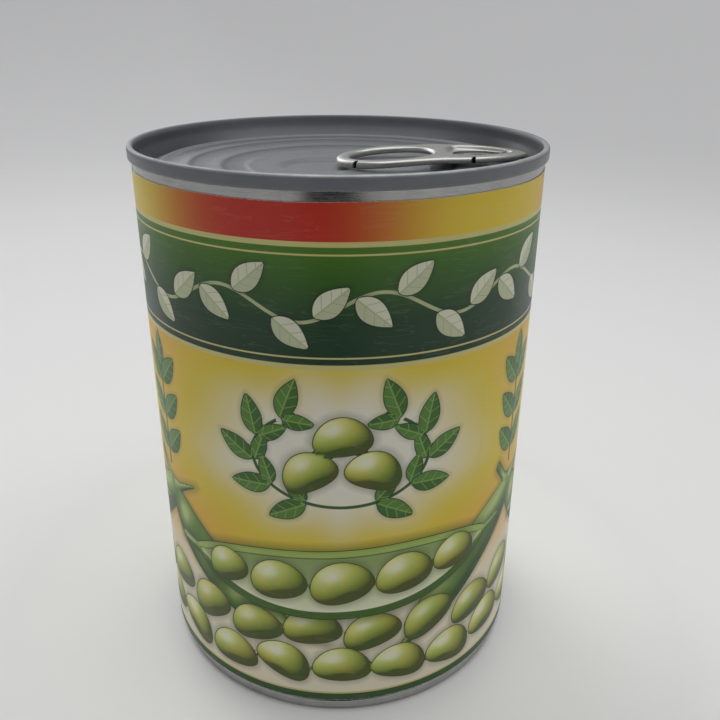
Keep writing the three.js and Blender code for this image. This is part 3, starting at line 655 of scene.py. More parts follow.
def tab_under(x, y):
    """Height of the tab's underside: the curl's lip along the edges, and the sheet's own back within."""
    edge = to_edge(x, y)
    droop = 1 - np.clip((x - RING_END) / (DROOP_FROM - RING_END), 0, 1)
    dip = np.clip((x - NOSE_DIP_FROM) / (NOSE_END - NOSE_DIP_FROM), 0, 1)
    lip = TAB_FOOT - RING_DROOP * droop ** DROOP_BEND - LIP_SHARE * NOSE_DIP * dip ** 2 + rounded_edge(edge)
    back = tab_top(x, y) - TAB_SHEET
    return lip + (back - lip) * smooth_step(edge, CURL_LIP, CURL_LIP + 0.3)


def band(outer, inner_level, centre, near, far, fill):
    """Plan of a band between an outline's points and an inner outline seen from a centre, as a grid
    with a row at each distance `near` its inner edge, `fill` rows, and one at each distance `far`
    from its outer edge. Gives the grid and the direction outwards at each column."""
    angles = np.arctan2(outer[:, 1], outer[:, 0] - centre)
    reach = reach_of(inner_level, centre, angles)
    inner = np.stack([centre + reach * np.cos(angles), reach * np.sin(angles)], axis=1)
    across = outer - inner
    width = np.linalg.norm(across, axis=1)
    start, end = near[:, None] / width, 1 - far[::-1, None] / width
    middle = start[-1] + (end[0] - start[-1]) * np.linspace(0, 1, fill + 2)[1:-1, None]
    shares = np.vstack([start, middle, end])
    return inner + shares[..., None] * across, across / width[:, None]


def closed_band(plan, top, under):
    """A band's whole skin: over the top outwards, down the outer side, back under, and up the inner
    side. Also gives the first and last row of the outer side."""
    upper, lower = np.dstack([plan, top]), np.dstack([plan, under])[::-1]
    stops = np.array([0.03, 0.5, 0.97])[:, None, None]
    outer_side = upper[-1] + (lower[0] - upper[-1]) * stops
    inner_side = lower[-1] + (upper[0] - lower[-1]) * stops
    skin = np.concatenate([upper, outer_side, lower, inner_side, upper[:1]])
    return skin, len(upper) - 1, len(upper) + len(outer_side)


def cut_notches(skin, first, last, outwards):
    """Pushes the curl's top, outer side and lip in where a slot is cut through it, and gives the shade
    that the hollow curl throws in the slot, from 0 to 1."""
    edge = skin[first, :, :2]
    ahead = np.gradient(edge, axis=0)
    lean = np.abs(ahead[:, 0]) / np.linalg.norm(ahead, axis=1)
    slot = np.zeros(len(edge))
    for x in NOTCHES:
        away = np.abs(edge[:, 0] - x) / np.maximum(lean, 0.2)
        slot = np.maximum(slot, 1 - smooth_step(away, NOTCH_WIDTH / 2 - 0.07, NOTCH_WIDTH / 2 + 0.07))
    rows = slice(first - NOTCH_ROWS[0], last + NOTCH_ROWS[1])
    part = skin[rows, :, :2]
    depth = ((edge - part) * outwards).sum(axis=2)
    part -= (np.clip(NOTCH_DEPTH - depth, 0, None) * slot)[..., None] * outwards
    shade = np.zeros((*skin.shape[:2], 3))
    shade[rows] = (slot * (depth < NOTCH_DEPTH / 2))[..., None]
    return shade


def tab_loop(outline, inner_level, centre, near, fill):
    """One loop of the tab: its skin, its faces without those where it joins the other loop, and the
    shade in its slots."""
    plan, outwards = band(np.vstack([outline, bridge[1:]]), inner_level, centre, near, curl_stops, fill)
    x, y = plan[..., 0], plan[..., 1]
    skin, first, last = closed_band(plan, tab_top(x, y) - rounded_edge(to_edge(x, y)), tab_under(x, y))
    shade = cut_notches(skin, first, last, outwards)
    keep = np.ones((skin.shape[0] - 1, skin.shape[1] - 1), bool)
    keep[first:last, len(outline) - 1:] = False
    return skin, keep, shade


ring_centre = (RING_END + RIM_WIDTH + HOLE_END) / 2
nose_centre = (DISH_WIDE_AT + DISH_END) / 2 - 1.5
curl_stops = CURL * (1 - np.cos(np.linspace(0, math.pi / 2, 7)))
waist_y = TAB_HALF_WIDTH + (NOSE_HALF_WIDTH - TAB_HALF_WIDTH) * float(
    smooth_step(BRIDGE_X, TAB_WIDE_AT, NOSE_FROM))
bridge = np.stack([np.full(61, BRIDGE_X), np.linspace(waist_y, -waist_y, 61)], axis=1)
ring_turn = math.atan2(waist_y, BRIDGE_X - ring_centre)
nose_turn = math.atan2(waist_y, BRIDGE_X - nose_centre)
ring_outline = evenly(arc_about(ring_centre, 2 * math.pi - ring_turn, ring_turn), 421)
nose_outline = evenly(arc_about(nose_centre, -nose_turn, nose_turn), 381)
ring_outline[0] = nose_outline[0] = bridge[-1]
ring_outline[-1] = nose_outline[-1] = bridge[0]

ring_skin, ring_keep, ring_shade = tab_loop(ring_outline, hole_level, ring_centre, curl_stops, 12)
nose_skin, nose_keep, nose_shade = tab_loop(nose_outline, window_level, nose_centre, np.zeros(1), 40)
tab_points = np.concatenate([ring_skin.reshape(-1, 3), nose_skin.reshape(-1, 3)])
tab_faces = np.concatenate([
    quads_of(ring_skin)[ring_keep],
    quads_of(nose_skin, first=ring_skin.shape[0] * ring_skin.shape[1])[nose_keep],
])
bare_tin = sheet_metal("bare_tin", (0.41, 0.407, 0.384), (0.49, 0.485, 0.46), 0.36,
                       stretch=3.0, dent=0.01, Metallic=1.0)
tree, shader = bare_tin.node_tree, bare_tin.node_tree.nodes["Principled BSDF"]
in_slot = add_node(tree, "ShaderNodeAttribute", attribute_name="slot").outputs["Fac"]
tin = shader.inputs["Base Color"].links[0].from_socket
tree.links.new(blend_colours(tree, in_slot, tin, SLOT_SHADE), shader.inputs["Base Color"])


def strip_map(points):
    """The strip's own map in millimetres: along it, and across it with the height added, so that the
    grain turns down over its curled edges."""
    return np.stack([points[..., 0], points[..., 1] + points[..., 2]], axis=-1)


slot_shade = np.concatenate([ring_shade.reshape(-1, 3), nose_shade.reshape(-1, 3)])
ring_pull = make_piece("ring_pull_tab", tab_points, strip_map(tab_points), tab_faces, bare_tin,
                       {"slot": slot_shade})
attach(ring_pull, "ring_pull")
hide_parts("pull_tab")

# Tongue: the part of the ring-pull's strip that lies flat on the lid under the rivet's head, pierced for
# the rivet, and that rises to the bend line where the tab turns when it is lifted.
TONGUE_TOP = PANEL_OUTER + GAP + TONGUE_PLATE
TONGUE_EDGE = 0.05               # rounding of the sheared edges, and play left at the bend line
tongue_angles = np.linspace(-math.pi, math.pi, 361)
tongue_reach = reach_of(tongue_level, RIVET_X, tongue_angles) - TONGUE_EDGE
tongue_outline = np.stack([RIVET_X + tongue_reach * np.cos(tongue_angles),
                           tongue_reach * np.sin(tongue_angles)], axis=1)


def rivet_hole_level(x, y):
    """1 on the hole that the rivet's stem stands in."""
    return np.hypot(x - RIVET_X, y) / (RIVET_STEM + 0.2)


tongue_plan, _ = band(tongue_outline, rivet_hole_level, RIVET_X, np.array([0, TONGUE_EDGE]),
                      np.array([0, TONGUE_EDGE]), 22)
rise = (FLOOR_TOP - TONGUE_TOP) * smooth_step(tongue_plan[..., 0], TONGUE_BEND - 0.5, HINGE_X)
tongue_top = TONGUE_TOP + rise
tongue_under = tongue_top - TONGUE_PLATE
tongue_top[[0, -1]] -= TONGUE_EDGE
tongue_under[[0, -1]] += TONGUE_EDGE
tongue_skin, _, _ = closed_band(tongue_plan, tongue_top, tongue_under)
tongue = make_piece("riveted_tongue", tongue_skin, strip_map(tongue_skin), quads_of(tongue_skin), bare_tin)
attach(tongue, "can")
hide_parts("tab_tongue")

# Paper label: one sheet wrapped once round the tube, its end glued over its start at the back, printed
# on white paper and varnished. Places on it are millimetres round from the front, and heights.
LABEL_LOW, LABEL_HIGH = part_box("paper_label")[0].z / MM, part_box("paper_label")[1].z / MM
LABEL_PAPER = 0.12
LABEL_INSIDE = BODY_RADIUS + GAP
LABEL_ROUND = 2 * math.pi * (LABEL_INSIDE + LABEL_PAPER)
FACE = LABEL_ROUND / 3           # the printed design comes three times round the can
LAP_HALF = 5.5                   # the glued lap reaches this far to each side of the back
LAP_EASE = 1.4                   # how far the sheet takes to climb over its own start
LAP_WHITE = 0.11                 # width of the white line that its cut end shows
LABEL_COLUMNS, LABEL_ROWS = 520, 180
NICKS = 18                       # small dents and tears along the top edge
TRIM = 0.09                      # how far the top edge wanders below its full height

round_label = np.linspace(-LABEL_ROUND / 2, LABEL_ROUND / 2, LABEL_COLUMNS)
lap_edge = LABEL_ROUND / 2 - LAP_HALF
round_label = np.sort(np.concatenate([round_label, [lap_edge, lap_edge + 0.02, lap_edge + LAP_WHITE]]))
climb = np.where(round_label > 0, round_label > lap_edge + 0.01,
                 1 - smooth_step(round_label + LABEL_ROUND / 2, LAP_HALF - LAP_EASE, LAP_HALF))
rng = np.random.default_rng(7)
nick_places = rng.uniform(-LABEL_ROUND / 2, LABEL_ROUND / 2, NICKS)[:, None]
nick_depths, nick_widths = rng.uniform(0.01, 0.06, NICKS)[:, None], rng.uniform(0.3, 0.9, NICKS)[:, None]
nicks = (nick_depths * np.exp(-((round_label - nick_places) / nick_widths) ** 2)).sum(axis=0)
top_edge = LABEL_HIGH - TRIM - nicks + 0.05 * np.sin(round_label / 9.7) + 0.04 * np.sin(round_label / 4.1 + 1)
share = np.linspace(0, 1, LABEL_ROWS)[:, None]
full_height = LABEL_LOW + (LABEL_HIGH - LABEL_LOW) * share
label_z = full_height - (LABEL_HIGH - top_edge) * share ** 40
label_s = np.broadcast_to(round_label, label_z.shape)


def placed(centre, turn):
    """Coordinates along and across a printed motif at a centre, turned by an angle, measured from its
    nearest copy round the can."""
    along = (label_s - centre[0] + FACE / 2) % FACE - FACE / 2
    up = label_z - centre[1]
    return along * math.cos(turn) + up * math.sin(turn), up * math.cos(turn) - along * math.sin(turn)


def evened(out):
    """A signed distance brought to an even slope of 1, so that lines drawn along it keep their width. A
    jump, where one copy of a motif gives way to the next, is left as it is."""
    along = np.gradient(out, round_label, axis=1)
    up = np.gradient(out, axis=0) / np.gradient(label_z, axis=0)
    slope = np.hypot(along, up)
    return out / np.where(slope < 3, np.maximum(slope, 0.3), 1)


def shaded(out, along, across, upright, turn):
    """A printed relief's (distance, light, spark): the light is its facing direction times the light's,
    from the upper left, and the spark a high power of that halfway to the eye."""
    right = along * math.cos(turn) - across * math.sin(turn)
    up = along * math.sin(turn) + across * math.cos(turn)
    spark = np.clip(-0.27 * right + 0.36 * up + 0.89 * upright, 0, 1) ** 26
    return evened(out), -0.42 * right + 0.62 * up + 0.66 * upright, spark


def nearest(motifs):
    """Of several motifs' (distance, value, value) arrays, the values of the nearest one at each place."""
    stack = np.stack([np.stack(np.broadcast_arrays(*motif), axis=-1) for motif in motifs])
    first = np.argmin(stack[..., 0], axis=0)
    return np.take_along_axis(stack, first[None, ..., None], axis=0)[0]


def bean(centre, length, turn, plump=0.68, bend=0.4):
    """A bean: an ellipse bent along a parabola, domed like half an ellipsoid, with a crease at its eye."""
    a, b = placed(centre, turn)
    u, v = a / (length / 2), b / (plump * length / 2)
    v = v + bend * (u ** 2 - 0.3)
    level = np.hypot(u, v)
    crease = np.exp(-(u / 0.35) ** 2 - ((v + 0.74) / 0.15) ** 2)
    out, light, spark = shaded((level - 1) * plump * length / 2, u + 2 * bend * u * v, v,
                               np.sqrt(np.clip(1 - level ** 2, 0, 1)), turn)
    return out, light - 0.45 * crease, spark


def pod_plan(centre, length, half_width, turn, bend):
    """A pod's plan: half width w (1-|u|^2.6)^0.8 along a parabola, with a stalk at one end and a beak at
    the other. Gives the places along and across it, its half width and the distance from its edge."""
    a, b = placed(centre, turn)
    b = b - bend * (a ** 2 - (length / 4) ** 2) / length
    u = np.clip(np.abs(a) / (length / 2), 0, 1)
    stalk = 0.9 * smooth_step(-a, length / 2 - 5, length / 2 - 1)
    beak = 0.8 * smooth_step(a, length / 2 - 5, length / 2 - 1) * np.clip(1 + (length / 2 - a) / 6, 0, 1)
    wide = np.maximum(half_width * (1 - u ** 2.6) ** 0.8, stalk + beak)
    beyond = np.maximum(-a - length / 2 - 5, a - length / 2 - 6)
    return a, b, wide, np.maximum(np.abs(b) - wide, beyond)


def closed_pod(centre, length, half_width, turn, bend):
    """A closed pod, shaded as a tube that swells over each of its beans."""
    a, b, wide, out = pod_plan(centre, length, half_width, turn, bend)
    v = np.clip(b / np.maximum(wide, 0.5), -1, 1)
    swell = 0.4 * np.sin(2 * math.pi * a / (length / 4.6)) * (1 - v ** 2)
    return shaded(out, swell, v, np.sqrt(1 - v ** 2), turn)


def leaf(centre, length, half_width, turn):
    """A leaflet: half width w (1-u^2)^0.85 (1-0.3u), with the places across and along it."""
    a, b = placed(centre, turn)
    u = np.clip(a / (length / 2), -1, 1)
    wide = half_width * (1 - u ** 2) ** 0.85 * (1 - 0.3 * u)
    return evened(np.maximum(np.abs(b) - wide, np.abs(a) - length / 2)), b, a


# The frieze: an open pod with its beans, closed pods and leaves behind it, over two rows of beans.
OPEN_POD = {"centre": (0, 35.0), "length": 70, "half_width": 8.4, "turn": 0.06, "bend": 0.13}
POD_RIM = 1.5                    # how much of the open pod's shell shows round its lining


def in_pod(along, across=0.3):
    """The place on the label of a point along the open pod's middle line and across it."""
    (s, z), length, turn, bend = (OPEN_POD[key] for key in ("centre", "length", "turn", "bend"))
    up = across + bend * (along ** 2 - (length / 4) ** 2) / length
    return s + along * math.cos(turn) - up * math.sin(turn), z + along * math.sin(turn) + up * math.cos(turn)


_, pod_across, pod_width, pod_out = pod_plan(**OPEN_POD)
pod_v = np.clip(pod_across / np.maximum(pod_width, 0.5), -1, 1)
pod_field = np.stack(shaded(pod_out, 0, pod_v, np.sqrt(1 - pod_v ** 2), OPEN_POD["turn"]), axis=-1)
pod_beans = nearest([bean(in_pod(at), size, lean, plump=0.76, bend=0.2) for at, size, lean in (
    (-25.0, 10.4, 0.42), (-13.2, 12.2, 0.24), (-0.1, 13.0, 0.34), (13.0, 12.2, 0.18), (24.8, 10.4, 0.08))])
SPACING = FACE / 7               # from one bean of a row to the next
back_row = nearest([bean((SPACING * (step + 0.5), 22.0 + 1.2 * math.sin(2.4 * step)), 12.4,
                         0.34 + 0.22 * math.sin(1.9 * step), plump=0.7, bend=0.3)
                    for step in range(7)])
front_row = nearest([bean((SPACING * step, 12.5 + 0.9 * math.sin(2.1 * step + 1)), 12.3,
                          0.3 * math.sin(2.7 * step + 0.6) - 0.2, plump=0.72, bend=0.3)
                     for step in range(7)])
wreath_beans = nearest([bean(at, 11.0, lean, plump=0.72, bend=0.3) for at, lean in (
    ((-6.1, 60.4), 0.5), ((6.3, 60.6), -0.3), ((0.3, 67.9), 0.12))])
far_pods = nearest([
    closed_pod((-29, 33), 46, 5.4, -0.62, 0.25), closed_pod((30, 34), 46, 5.4, 0.7, -0.25),
])
WREATH_MIDDLE, WREATH_ACROSS, WREATH_UP = 63.5, 17.0, 10.5
WREATH_END = 138                 # degrees from its foot where each of its two branches ends
SPRIG_MIDDLE, SPRIG_HALF, SPRIG_STEP = 62, 12, 8


def mirrored_leaves(rows):
    """Leaflets that spring from (place, height) on a stem with a length and a heading, and their mirror
    images on the other side of the design's middle."""
    made = []
    for s, z, length, heading in rows:
        out = length / 2 + 0.5
        at = s + out * math.cos(heading), z + out * math.sin(heading)
        made.append(leaf(at, length, 0.24 * length, heading))
        made.append(leaf((-at[0], at[1]), length, 0.24 * length, math.pi - heading))
    return made


wreath_rows = []
for turn in np.radians(np.linspace(22, WREATH_END, 5)):
    s, z = WREATH_ACROSS * math.sin(turn), WREATH_MIDDLE - WREATH_UP * math.cos(turn)
    heading = math.atan2(WREATH_UP * math.sin(turn), WREATH_ACROSS * math.cos(turn))
    wreath_rows += [(s, z, 8.2, heading - 0.7), (s, z, 6.2, heading + 0.62)]
sprig_rows = [(FACE / 2, z, 9.0, math.pi / 2 + 0.75) for z in (
    SPRIG_MIDDLE - SPRIG_STEP, SPRIG_MIDDLE, SPRIG_MIDDLE + SPRIG_STEP)]
sprig_rows.append((FACE / 2, SPRIG_MIDDLE + SPRIG_HALF - 1, 7.5, math.pi / 2))
leaf_field = nearest(mirrored_leaves(wreath_rows + sprig_rows))

from_face = (label_s + FACE / 2) % FACE - FACE / 2
across, up = from_face / WREATH_ACROSS, (label_z - WREATH_MIDDLE) / WREATH_UP
wreath_stem = evened(WREATH_UP * (np.hypot(across, up) - 1))
past_end = np.degrees(np.arctan2(np.abs(across), -up)) > WREATH_END
wreath_stem += 50 * np.sign(wreath_stem) * past_end
sprig_stem = label_s % FACE - FACE / 2
sprig_stem = sprig_stem + 50 * np.sign(sprig_stem) * (np.abs(label_z - SPRIG_MIDDLE) > SPRIG_HALF)
leaf_stem_off = np.where(np.abs(wreath_stem) < np.abs(sprig_stem), wreath_stem, sprig_stem)

# The green band and its garland: a waving stem with a leaflet to each side in turn.
BAND_LOW, BAND_HIGH = 82.5, 103.5
GARLAND_SWING, GARLAND_WAVE = 2.7, FACE / 3
band_middle = (BAND_LOW + BAND_HIGH) / 2
phase = 2 * math.pi * label_s / GARLAND_WAVE
stem_slope = GARLAND_SWING * 2 * math.pi / GARLAND_WAVE * np.cos(phase)
stem_off = (label_z - band_middle - GARLAND_SWING * np.sin(phase)) / np.hypot(1, stem_slope)
sprigs = []
for step in range(12):
    place = (step + 0.5) * GARLAND_WAVE / 4
    stem_height = band_middle + GARLAND_SWING * math.sin(2 * math.pi * place / GARLAND_WAVE)
    side = 1 if step % 2 else -1
    sprigs.append(leaf((place + 2.2, stem_height + side * 2.9), 8.2, 2.2, side * 0.7))
garland_field = nearest(sprigs)

# The ground: golden yellow that glows nearly white round the wreath and behind the beans, deepens to
# amber between the faces and turns red above the band.
GLOW_CENTRE, GLOW_WIDTH, GLOW_HEIGHT = 63.5, 38.0, 21.0
PALE_BELOW, PALE_TO = 24.0, 42.0
FLAME_MIDDLE, FLAME_HALF_WIDTH = -11.0, 24.0
AMBER, GOLD, GLOW, FLAME = (np.array(colour) for colour in (
    (0.80, 0.46, 0.04), (0.76, 0.60, 0.05), (0.86, 0.83, 0.70), (0.55, 0.035, 0.02)))
from_glow = np.hypot(from_face / GLOW_WIDTH, (label_z - GLOW_CENTRE) / GLOW_HEIGHT)
ripple = 0.04 * np.sin(9 * np.arctan2(label_z - GLOW_CENTRE, from_face))
towards_gold = 1 - smooth_step(from_glow + ripple, 0.85, 1.45)
towards_glow = 1 - smooth_step(from_glow + ripple, 0.35, 1.0)
behind_beans = 0.85 * (1 - smooth_step(label_z, PALE_BELOW, PALE_TO))
above_band = smooth_step(label_z, BAND_LOW, BAND_HIGH)
towards_flame = np.exp(-((from_face - FLAME_MIDDLE) / FLAME_HALF_WIDTH) ** 4) * above_band
ground = np.broadcast_to(AMBER, (*label_z.shape, 3))
layers = ((GOLD, towards_gold), (GLOW, towards_glow), (GLOW, behind_beans), (GOLD, 0.8 * above_band),
          (FLAME, towards_flame))
for colour, amount in layers:
    ground = ground + (colour - ground) * amount[..., None]

EDGE_REACH = 0.08                # how far white paper shows in from a cut edge
from_edge = np.minimum(label_z - LABEL_LOW, top_edge - label_z)
paper_edge = np.clip(1 - from_edge / EDGE_REACH, 0, 1)
paper_edge = np.where(np.abs(label_s - lap_edge - LAP_WHITE / 2) < LAP_WHITE / 2 + 0.01, 1, paper_edge)
marks_field = np.stack([stem_off, paper_edge, leaf_stem_off], axis=-1)

sheet_radius = LABEL_INSIDE + LABEL_PAPER * (1 + climb)


def at_radius(radius, around, height):
    """Points at a radius, at places round the label in millimetres, and at heights."""
    angle = around / LABEL_ROUND * 2 * math.pi
    return np.stack(np.broadcast_arrays(radius * np.sin(angle), -radius * np.cos(angle), height), axis=-1)


outer_sheet = at_radius(sheet_radius, label_s, label_z)
inner_sheet = at_radius(LABEL_INSIDE, label_s[[-1, 0]], label_z[[-1, 0]])
label_grid = np.concatenate([outer_sheet, inner_sheet, outer_sheet[:1]])
inner_rows = [-1, 0, 0]
label_wrap = np.stack([label_s, label_z], axis=-1)
label_wrap = np.concatenate([label_wrap, label_wrap[inner_rows]])
fields = {
    "ground": ground, "marks": marks_field, "garland": garland_field, "leaves": leaf_field,
    "far_pods": far_pods, "open_pod": pod_field, "pod_beans": pod_beans, "back_row": back_row,
    "front_row": front_row, "wreath_beans": wreath_beans,
}
fields = {name: np.concatenate([field, field[inner_rows]]) for name, field in fields.items()}

printed, tree, shader = new_finish(
    "printed_paper", Specular_IOR_Level=0.3, Coat_Weight=0.08, Coat_Roughness=0.25)
wrap = add_node(tree, "ShaderNodeUVMap", uv_map="wrap").outputs[0]
height = add_node(tree, "ShaderNodeSeparateXYZ", {"Vector": wrap}).outputs["Y"]


def field_of(name):
    """The three values that a printed field keeps at each point."""
    kept = add_node(tree, "ShaderNodeAttribute", attribute_name=name).outputs["Vector"]
    return add_node(tree, "ShaderNodeSeparateXYZ", {"Vector": kept}).outputs


def covers(out, grow=0.0):
    """A crisp mask: 1 inside a signed distance, let out by `grow` millimetres."""
    return between(tree, out, grow + 0.05, grow - 0.05)


def line_at(out, at, half):
    """A mask for a line of a half width that runs along a signed distance."""
    off = maths(tree, "ABSOLUTE", maths(tree, "SUBTRACT", out, at))
    return between(tree, off, half + 0.05, half - 0.05)


def tones(value, *stops):
    """A colour taken from a row of (place, colour) stops by a value."""
    made = add_node(tree, "ShaderNodeValToRGB", {"Fac": value})
    ramp = made.color_ramp.elements
    while len(ramp) < len(stops):
        ramp.new(0.5)
    for element, (at, colour) in zip(ramp, stops):
        element.position = at
        element.color = (*colour, 1)
    return made.outputs["Color"]


def printed_over(under, out, colour, outline, shade=0.45, reach=1.8, line=0.2):
    """A motif printed over what is there: a soft shade round it, a dark outline, then its colour."""
    falling = times(tree, between(tree, out, reach, 0.0), shade)
    under = blend_colours(tree, falling, under, outline)
    under = blend_colours(tree, covers(out, line), under, outline)
    return blend_colours(tree, covers(out), under, colour)


ripeness = between(tree, noise(tree, wrap, 0.13, 4.0, Roughness=0.6), 0.40, 0.62, 0.0, 0.85)


def bean_print(under, name, depth=0.0):
    """Beans of one layer, toned from their shaded side to their lit side, greener where they are young
    and yellower where they are ripe, with a soft spark."""
    out, light, spark = field_of(name)
    lit = maths(tree, "SUBTRACT", light, depth)
    young = tones(lit, (0.0, (0.06, 0.10, 0.012)), (0.35, (0.24, 0.32, 0.035)), (0.65, (0.44, 0.53, 0.09)),
                  (0.9, (0.64, 0.70, 0.22)), (1.0, (0.78, 0.81, 0.40)))
    ripe = tones(lit, (0.0, (0.10, 0.10, 0.012)), (0.35, (0.35, 0.33, 0.04)), (0.65, (0.60, 0.56, 0.11)),
                 (0.9, (0.79, 0.74, 0.28)), (1.0, (0.86, 0.83, 0.46)))
    tone = blend_colours(tree, ripeness, young, ripe)
    tone = blend_colours(tree, times(tree, spark, 0.75 - depth), tone, (0.90, 0.90, 0.72))
    return printed_over(under, out, tone, (0.045, 0.07, 0.01))


def leaf_print(under, name, dark, light, vein, outline):
    """Leaflets of two tones, split along the midrib, with slanting side veins."""
    out, across, along = field_of(name)
    halves = blend_colours(tree, between(tree, across, -0.05, 0.05), dark, light)
    slant = maths(tree, "SUBTRACT", along, times(tree, maths(tree, "ABSOLUTE", across), 0.8))
    side_veins = between(tree, maths(tree, "PINGPONG", slant, 1.1), 0.16, 0.05)
    veins = maths(tree, "MAXIMUM", side_veins, line_at(across, 0.0, 0.14))
    tone = blend_colours(tree, times(tree, veins, 0.7), halves, vein)
    return printed_over(under, out, tone, outline, shade=0.3, reach=1.2)


KEYLINE = (0.66, 0.60, 0.24)
DEEP_GREEN = (0.02, 0.06, 0.012)
FOOT_LINE = 5.4
stem_offset, paper_edge, leaf_stem = field_of("marks")
ink = add_node(tree, "ShaderNodeAttribute", attribute_name="ground").outputs["Vector"]
band_out = maths(tree, "SUBTRACT", maths(tree, "ABSOLUTE", maths(tree, "SUBTRACT", height, band_middle)),
                 (BAND_HIGH - BAND_LOW) / 2)
band_tone = tones(between(tree, height, BAND_LOW, BAND_HIGH), (0.0, (0.012, 0.045, 0.02)),
                  (0.4, (0.02, 0.062, 0.024)), (0.8, (0.055, 0.15, 0.018)), (1.0, (0.085, 0.21, 0.02)))
ink = blend_colours(tree, covers(band_out, 0.9), ink, KEYLINE)
ink = blend_colours(tree, covers(band_out), ink, band_tone)
ink = blend_colours(tree, line_at(band_out, -1.3, 0.16), ink, KEYLINE)
ink = blend_colours(tree, line_at(stem_offset, 0.0, 0.32), ink, (0.50, 0.55, 0.30))
ink = leaf_print(ink, "garland", (0.56, 0.60, 0.38), (0.74, 0.74, 0.56), (0.40, 0.46, 0.24),
                 (0.012, 0.04, 0.015))
ink = blend_colours(tree, line_at(leaf_stem, 0.0, 0.34), ink, (0.04, 0.11, 0.02))
ink = leaf_print(ink, "leaves", (0.05, 0.15, 0.02), (0.10, 0.24, 0.035), (0.30, 0.46, 0.13), DEEP_GREEN)
ink = bean_print(ink, "wreath_beans")

far_out, far_light, far_spark = field_of("far_pods")
far_tone = tones(far_light, (0.0, (0.03, 0.08, 0.01)), (0.5, (0.12, 0.24, 0.025)), (1.0, (0.40, 0.52, 0.12)))
far_tone = blend_colours(tree, times(tree, far_spark, 0.35), far_tone, (0.70, 0.78, 0.42))
ink = printed_over(ink, far_out, far_tone, DEEP_GREEN)
ink = bean_print(ink, "back_row", depth=0.1)
ink = bean_print(ink, "front_row")

shell_out, shell_light, _ = field_of("open_pod")
shell_tone = tones(shell_light, (0.0, (0.06, 0.14, 0.015)), (0.5, (0.19, 0.34, 0.04)),
                   (1.0, (0.46, 0.58, 0.15)))
lining_tone = tones(shell_light, (0.0, (0.80, 0.82, 0.58)), (0.55, (0.62, 0.68, 0.36)),
                    (1.0, (0.22, 0.33, 0.09)))
ink = printed_over(ink, shell_out, shell_tone, DEEP_GREEN, shade=0.6, reach=2.4)
ink = blend_colours(tree, covers(shell_out, -POD_RIM), ink, (0.07, 0.15, 0.02))
ink = blend_colours(tree, covers(shell_out, -POD_RIM - 0.25), ink, lining_tone)
ink = bean_print(ink, "pod_beans")
ink = blend_colours(tree, between(tree, height, FOOT_LINE + 0.55, FOOT_LINE + 0.45), ink, KEYLINE)
ink = blend_colours(tree, between(tree, height, FOOT_LINE + 0.05, FOOT_LINE - 0.05), ink, (0.03, 0.09, 0.02))

fibre = noise(tree, wrap, 2.4, 4.0, Roughness=0.7)
rubbed = use_group(tree, marks_group, {"Map": wrap, "Scratch size": 0.5, "Share": 0.2})
worn = times(tree, between(tree, paper_edge, 0.82, 0.95),
             between(tree, fibre, 0.46, 0.56))
worn = maths(tree, "MAXIMUM", worn, times(tree, rubbed["Scratches"], 0.04))
worn = maths(tree, "MAXIMUM", worn, between(tree, paper_edge, 0.96, 1.0, 0.0, 0.75))
tree.links.new(blend_colours(tree, worn, ink, (0.74, 0.73, 0.69)), shader.inputs["Base Color"])
sheen = maths(tree, "ADD", between(tree, fibre, 0.35, 0.65, 0.33, 0.40),
              times(tree, rubbed["Smudges"], 0.08))
tree.links.new(sheen, shader.inputs["Roughness"])
add_relief(tree, shader, fibre, 0.10, 0.05)
label = make_piece("wrapped_label", label_grid, label_wrap, quads_of(label_grid), printed, fields, sharp=50)
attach(label, "can")
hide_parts("paper_label")

# Studio: a round pale floor that rises into its own backdrop, so that it looks alike from every side, a
# broad light overhead, a low one behind on the left, and two dark cards in front that the tin reflects.
FLOOR_FLAT, BACKDROP_RADIUS, BACKDROP_TOP = 0.5, 1.6, 1.9
PAINTED_LIGHT_END, PAINTED_LIGHT_FULL = 0.085, 0.05        # metres from the can within which painted light makes the floor palest
PAINTED_SHADE_START, PAINTED_SHADE_FULL = 0.15, 0.7          # and over which painted shade darkens it into the backdrop
arc_turn = np.linspace(0, math.pi / 2, 24)
bend_radius = BACKDROP_RADIUS - FLOOR_FLAT
backdrop_line = np.vstack([
    [[0, 0], [FLOOR_FLAT / 2, 0]],
    np.stack([FLOOR_FLAT + bend_radius * np.sin(arc_turn), bend_radius * (1 - np.cos(arc_turn))], axis=1),
    [[BACKDROP_RADIUS, BACKDROP_TOP]],
]) / MM
pale_paint, tree, shader = new_finish("pale_backdrop", Roughness=0.75, Specular_IOR_Level=0.25)
place = add_node(tree, "ShaderNodeTexCoord").outputs["Object"]
from_can = add_node(tree, "ShaderNodeVectorMath", {0: place}, operation="LENGTH").outputs["Value"]
floor_tone = blend_colours(tree, noise(tree, place, 3.0, 3.0), (0.77, 0.765, 0.76), (0.81, 0.81, 0.81))
# Painted light on the floor next to the can, and painted shade that darkens it further away.
near, far = between(tree, from_can, PAINTED_LIGHT_END, PAINTED_LIGHT_FULL), between(tree, from_can, PAINTED_SHADE_START, PAINTED_SHADE_FULL)
floor_tone = blend_colours(tree, near, floor_tone, (0.90, 0.90, 0.89))
floor_tone = blend_colours(tree, far, floor_tone, (0.64, 0.64, 0.645))
tree.links.new(floor_tone, shader.inputs["Base Color"])
floor_grid, floor_wrap = turned(backdrop_line, np.linspace(-math.pi, math.pi, 97))
floor = make_piece("studio_floor", floor_grid, floor_wrap, quads_of(floor_grid), pale_paint)

card_paint, _, _ = new_finish("dark_card", Base_Color=(0.02, 0.02, 0.022, 1), Roughness=0.9)


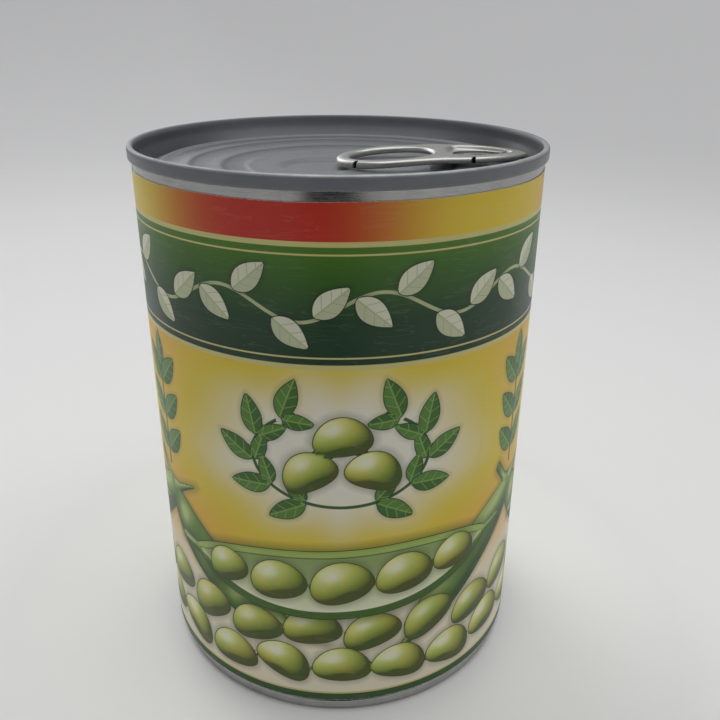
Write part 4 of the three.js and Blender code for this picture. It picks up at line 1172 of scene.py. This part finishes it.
def dark_card(name, middle, distance, half_width, low, high):
    """An upright card in front of the can, in metres, that the camera itself doesn't see."""
    mesh = bpy.data.meshes.new(name)
    mesh.from_pydata([
        (middle - half_width, -distance, low), (middle + half_width, -distance, low),
        (middle + half_width, -distance, high), (middle - half_width, -distance, high),
    ], [], [(0, 1, 2, 3)])
    mesh.materials.append(card_paint)
    card = bpy.data.objects.new(name, mesh)
    bpy.context.scene.collection.objects.link(card)
    card.visible_camera = False


dark_card("near_card", -0.012, 0.19, 0.045, 0.01, 0.17)
dark_card("far_card", 0.0, 0.6, 0.22, 0.1, 0.5)


def soft_light(name, place, target, size, power, spread=180):
    """A square area light at a place, turned towards a target, both in metres."""
    lamp = bpy.data.lights.new(name, "AREA")
    lamp.size, lamp.energy, lamp.spread = size, power, math.radians(spread)
    made = bpy.data.objects.new(name, lamp)
    made.location = place
    made.rotation_mode = "QUATERNION"
    made.rotation_quaternion = (Vector(target) - Vector(place)).to_track_quat("-Z", "Y")
    bpy.context.scene.collection.objects.link(made)


soft_light("overhead", (0.14, 0.15, 1.4), (0, 0.1, 0), 1.6, 14.8)
soft_light("from_behind", (-0.5, 0.75, 0.5), (0, 0, 0.1), 0.8, 0.75, 60)
world = bpy.data.worlds.new("pale_room")
world.use_nodes = True
world.node_tree.nodes["Background"].inputs["Color"].default_value = (0.80, 0.81, 0.83, 1)
world.node_tree.nodes["Background"].inputs["Strength"].default_value = 0.25
bpy.context.scene.world = world
bpy.context.scene.view_settings.view_transform = "Standard"

# Camera: where the photograph was taken from, worked out from the can's outline in it. It stands close
# in front of the can, a little higher than its rim, and looks down.
CAMERA_PLACE = (0.0, -0.1625, 0.1371)
PITCH, YAW, ROLL = math.radians(23.91), math.radians(1.60), math.radians(0.39)
LENS = 38.18
forward = Vector((math.sin(YAW) * math.cos(PITCH), math.cos(YAW) * math.cos(PITCH), -math.sin(PITCH)))
level_right = Vector((math.cos(YAW), -math.sin(YAW), 0))
level_up = level_right.cross(forward)
right = math.cos(ROLL) * level_right + math.sin(ROLL) * level_up
up = math.cos(ROLL) * level_up - math.sin(ROLL) * level_right
camera = bpy.data.objects.new("camera", bpy.data.cameras.new("camera"))
camera.data.sensor_width, camera.data.lens = 36.0, LENS
camera.data.clip_start = 0.005
camera.matrix_world = Matrix.Translation(CAMERA_PLACE) @ Matrix((right, up, -forward)).transposed().to_4x4()
bpy.context.scene.collection.objects.link(camera)
bpy.context.scene.camera = camera
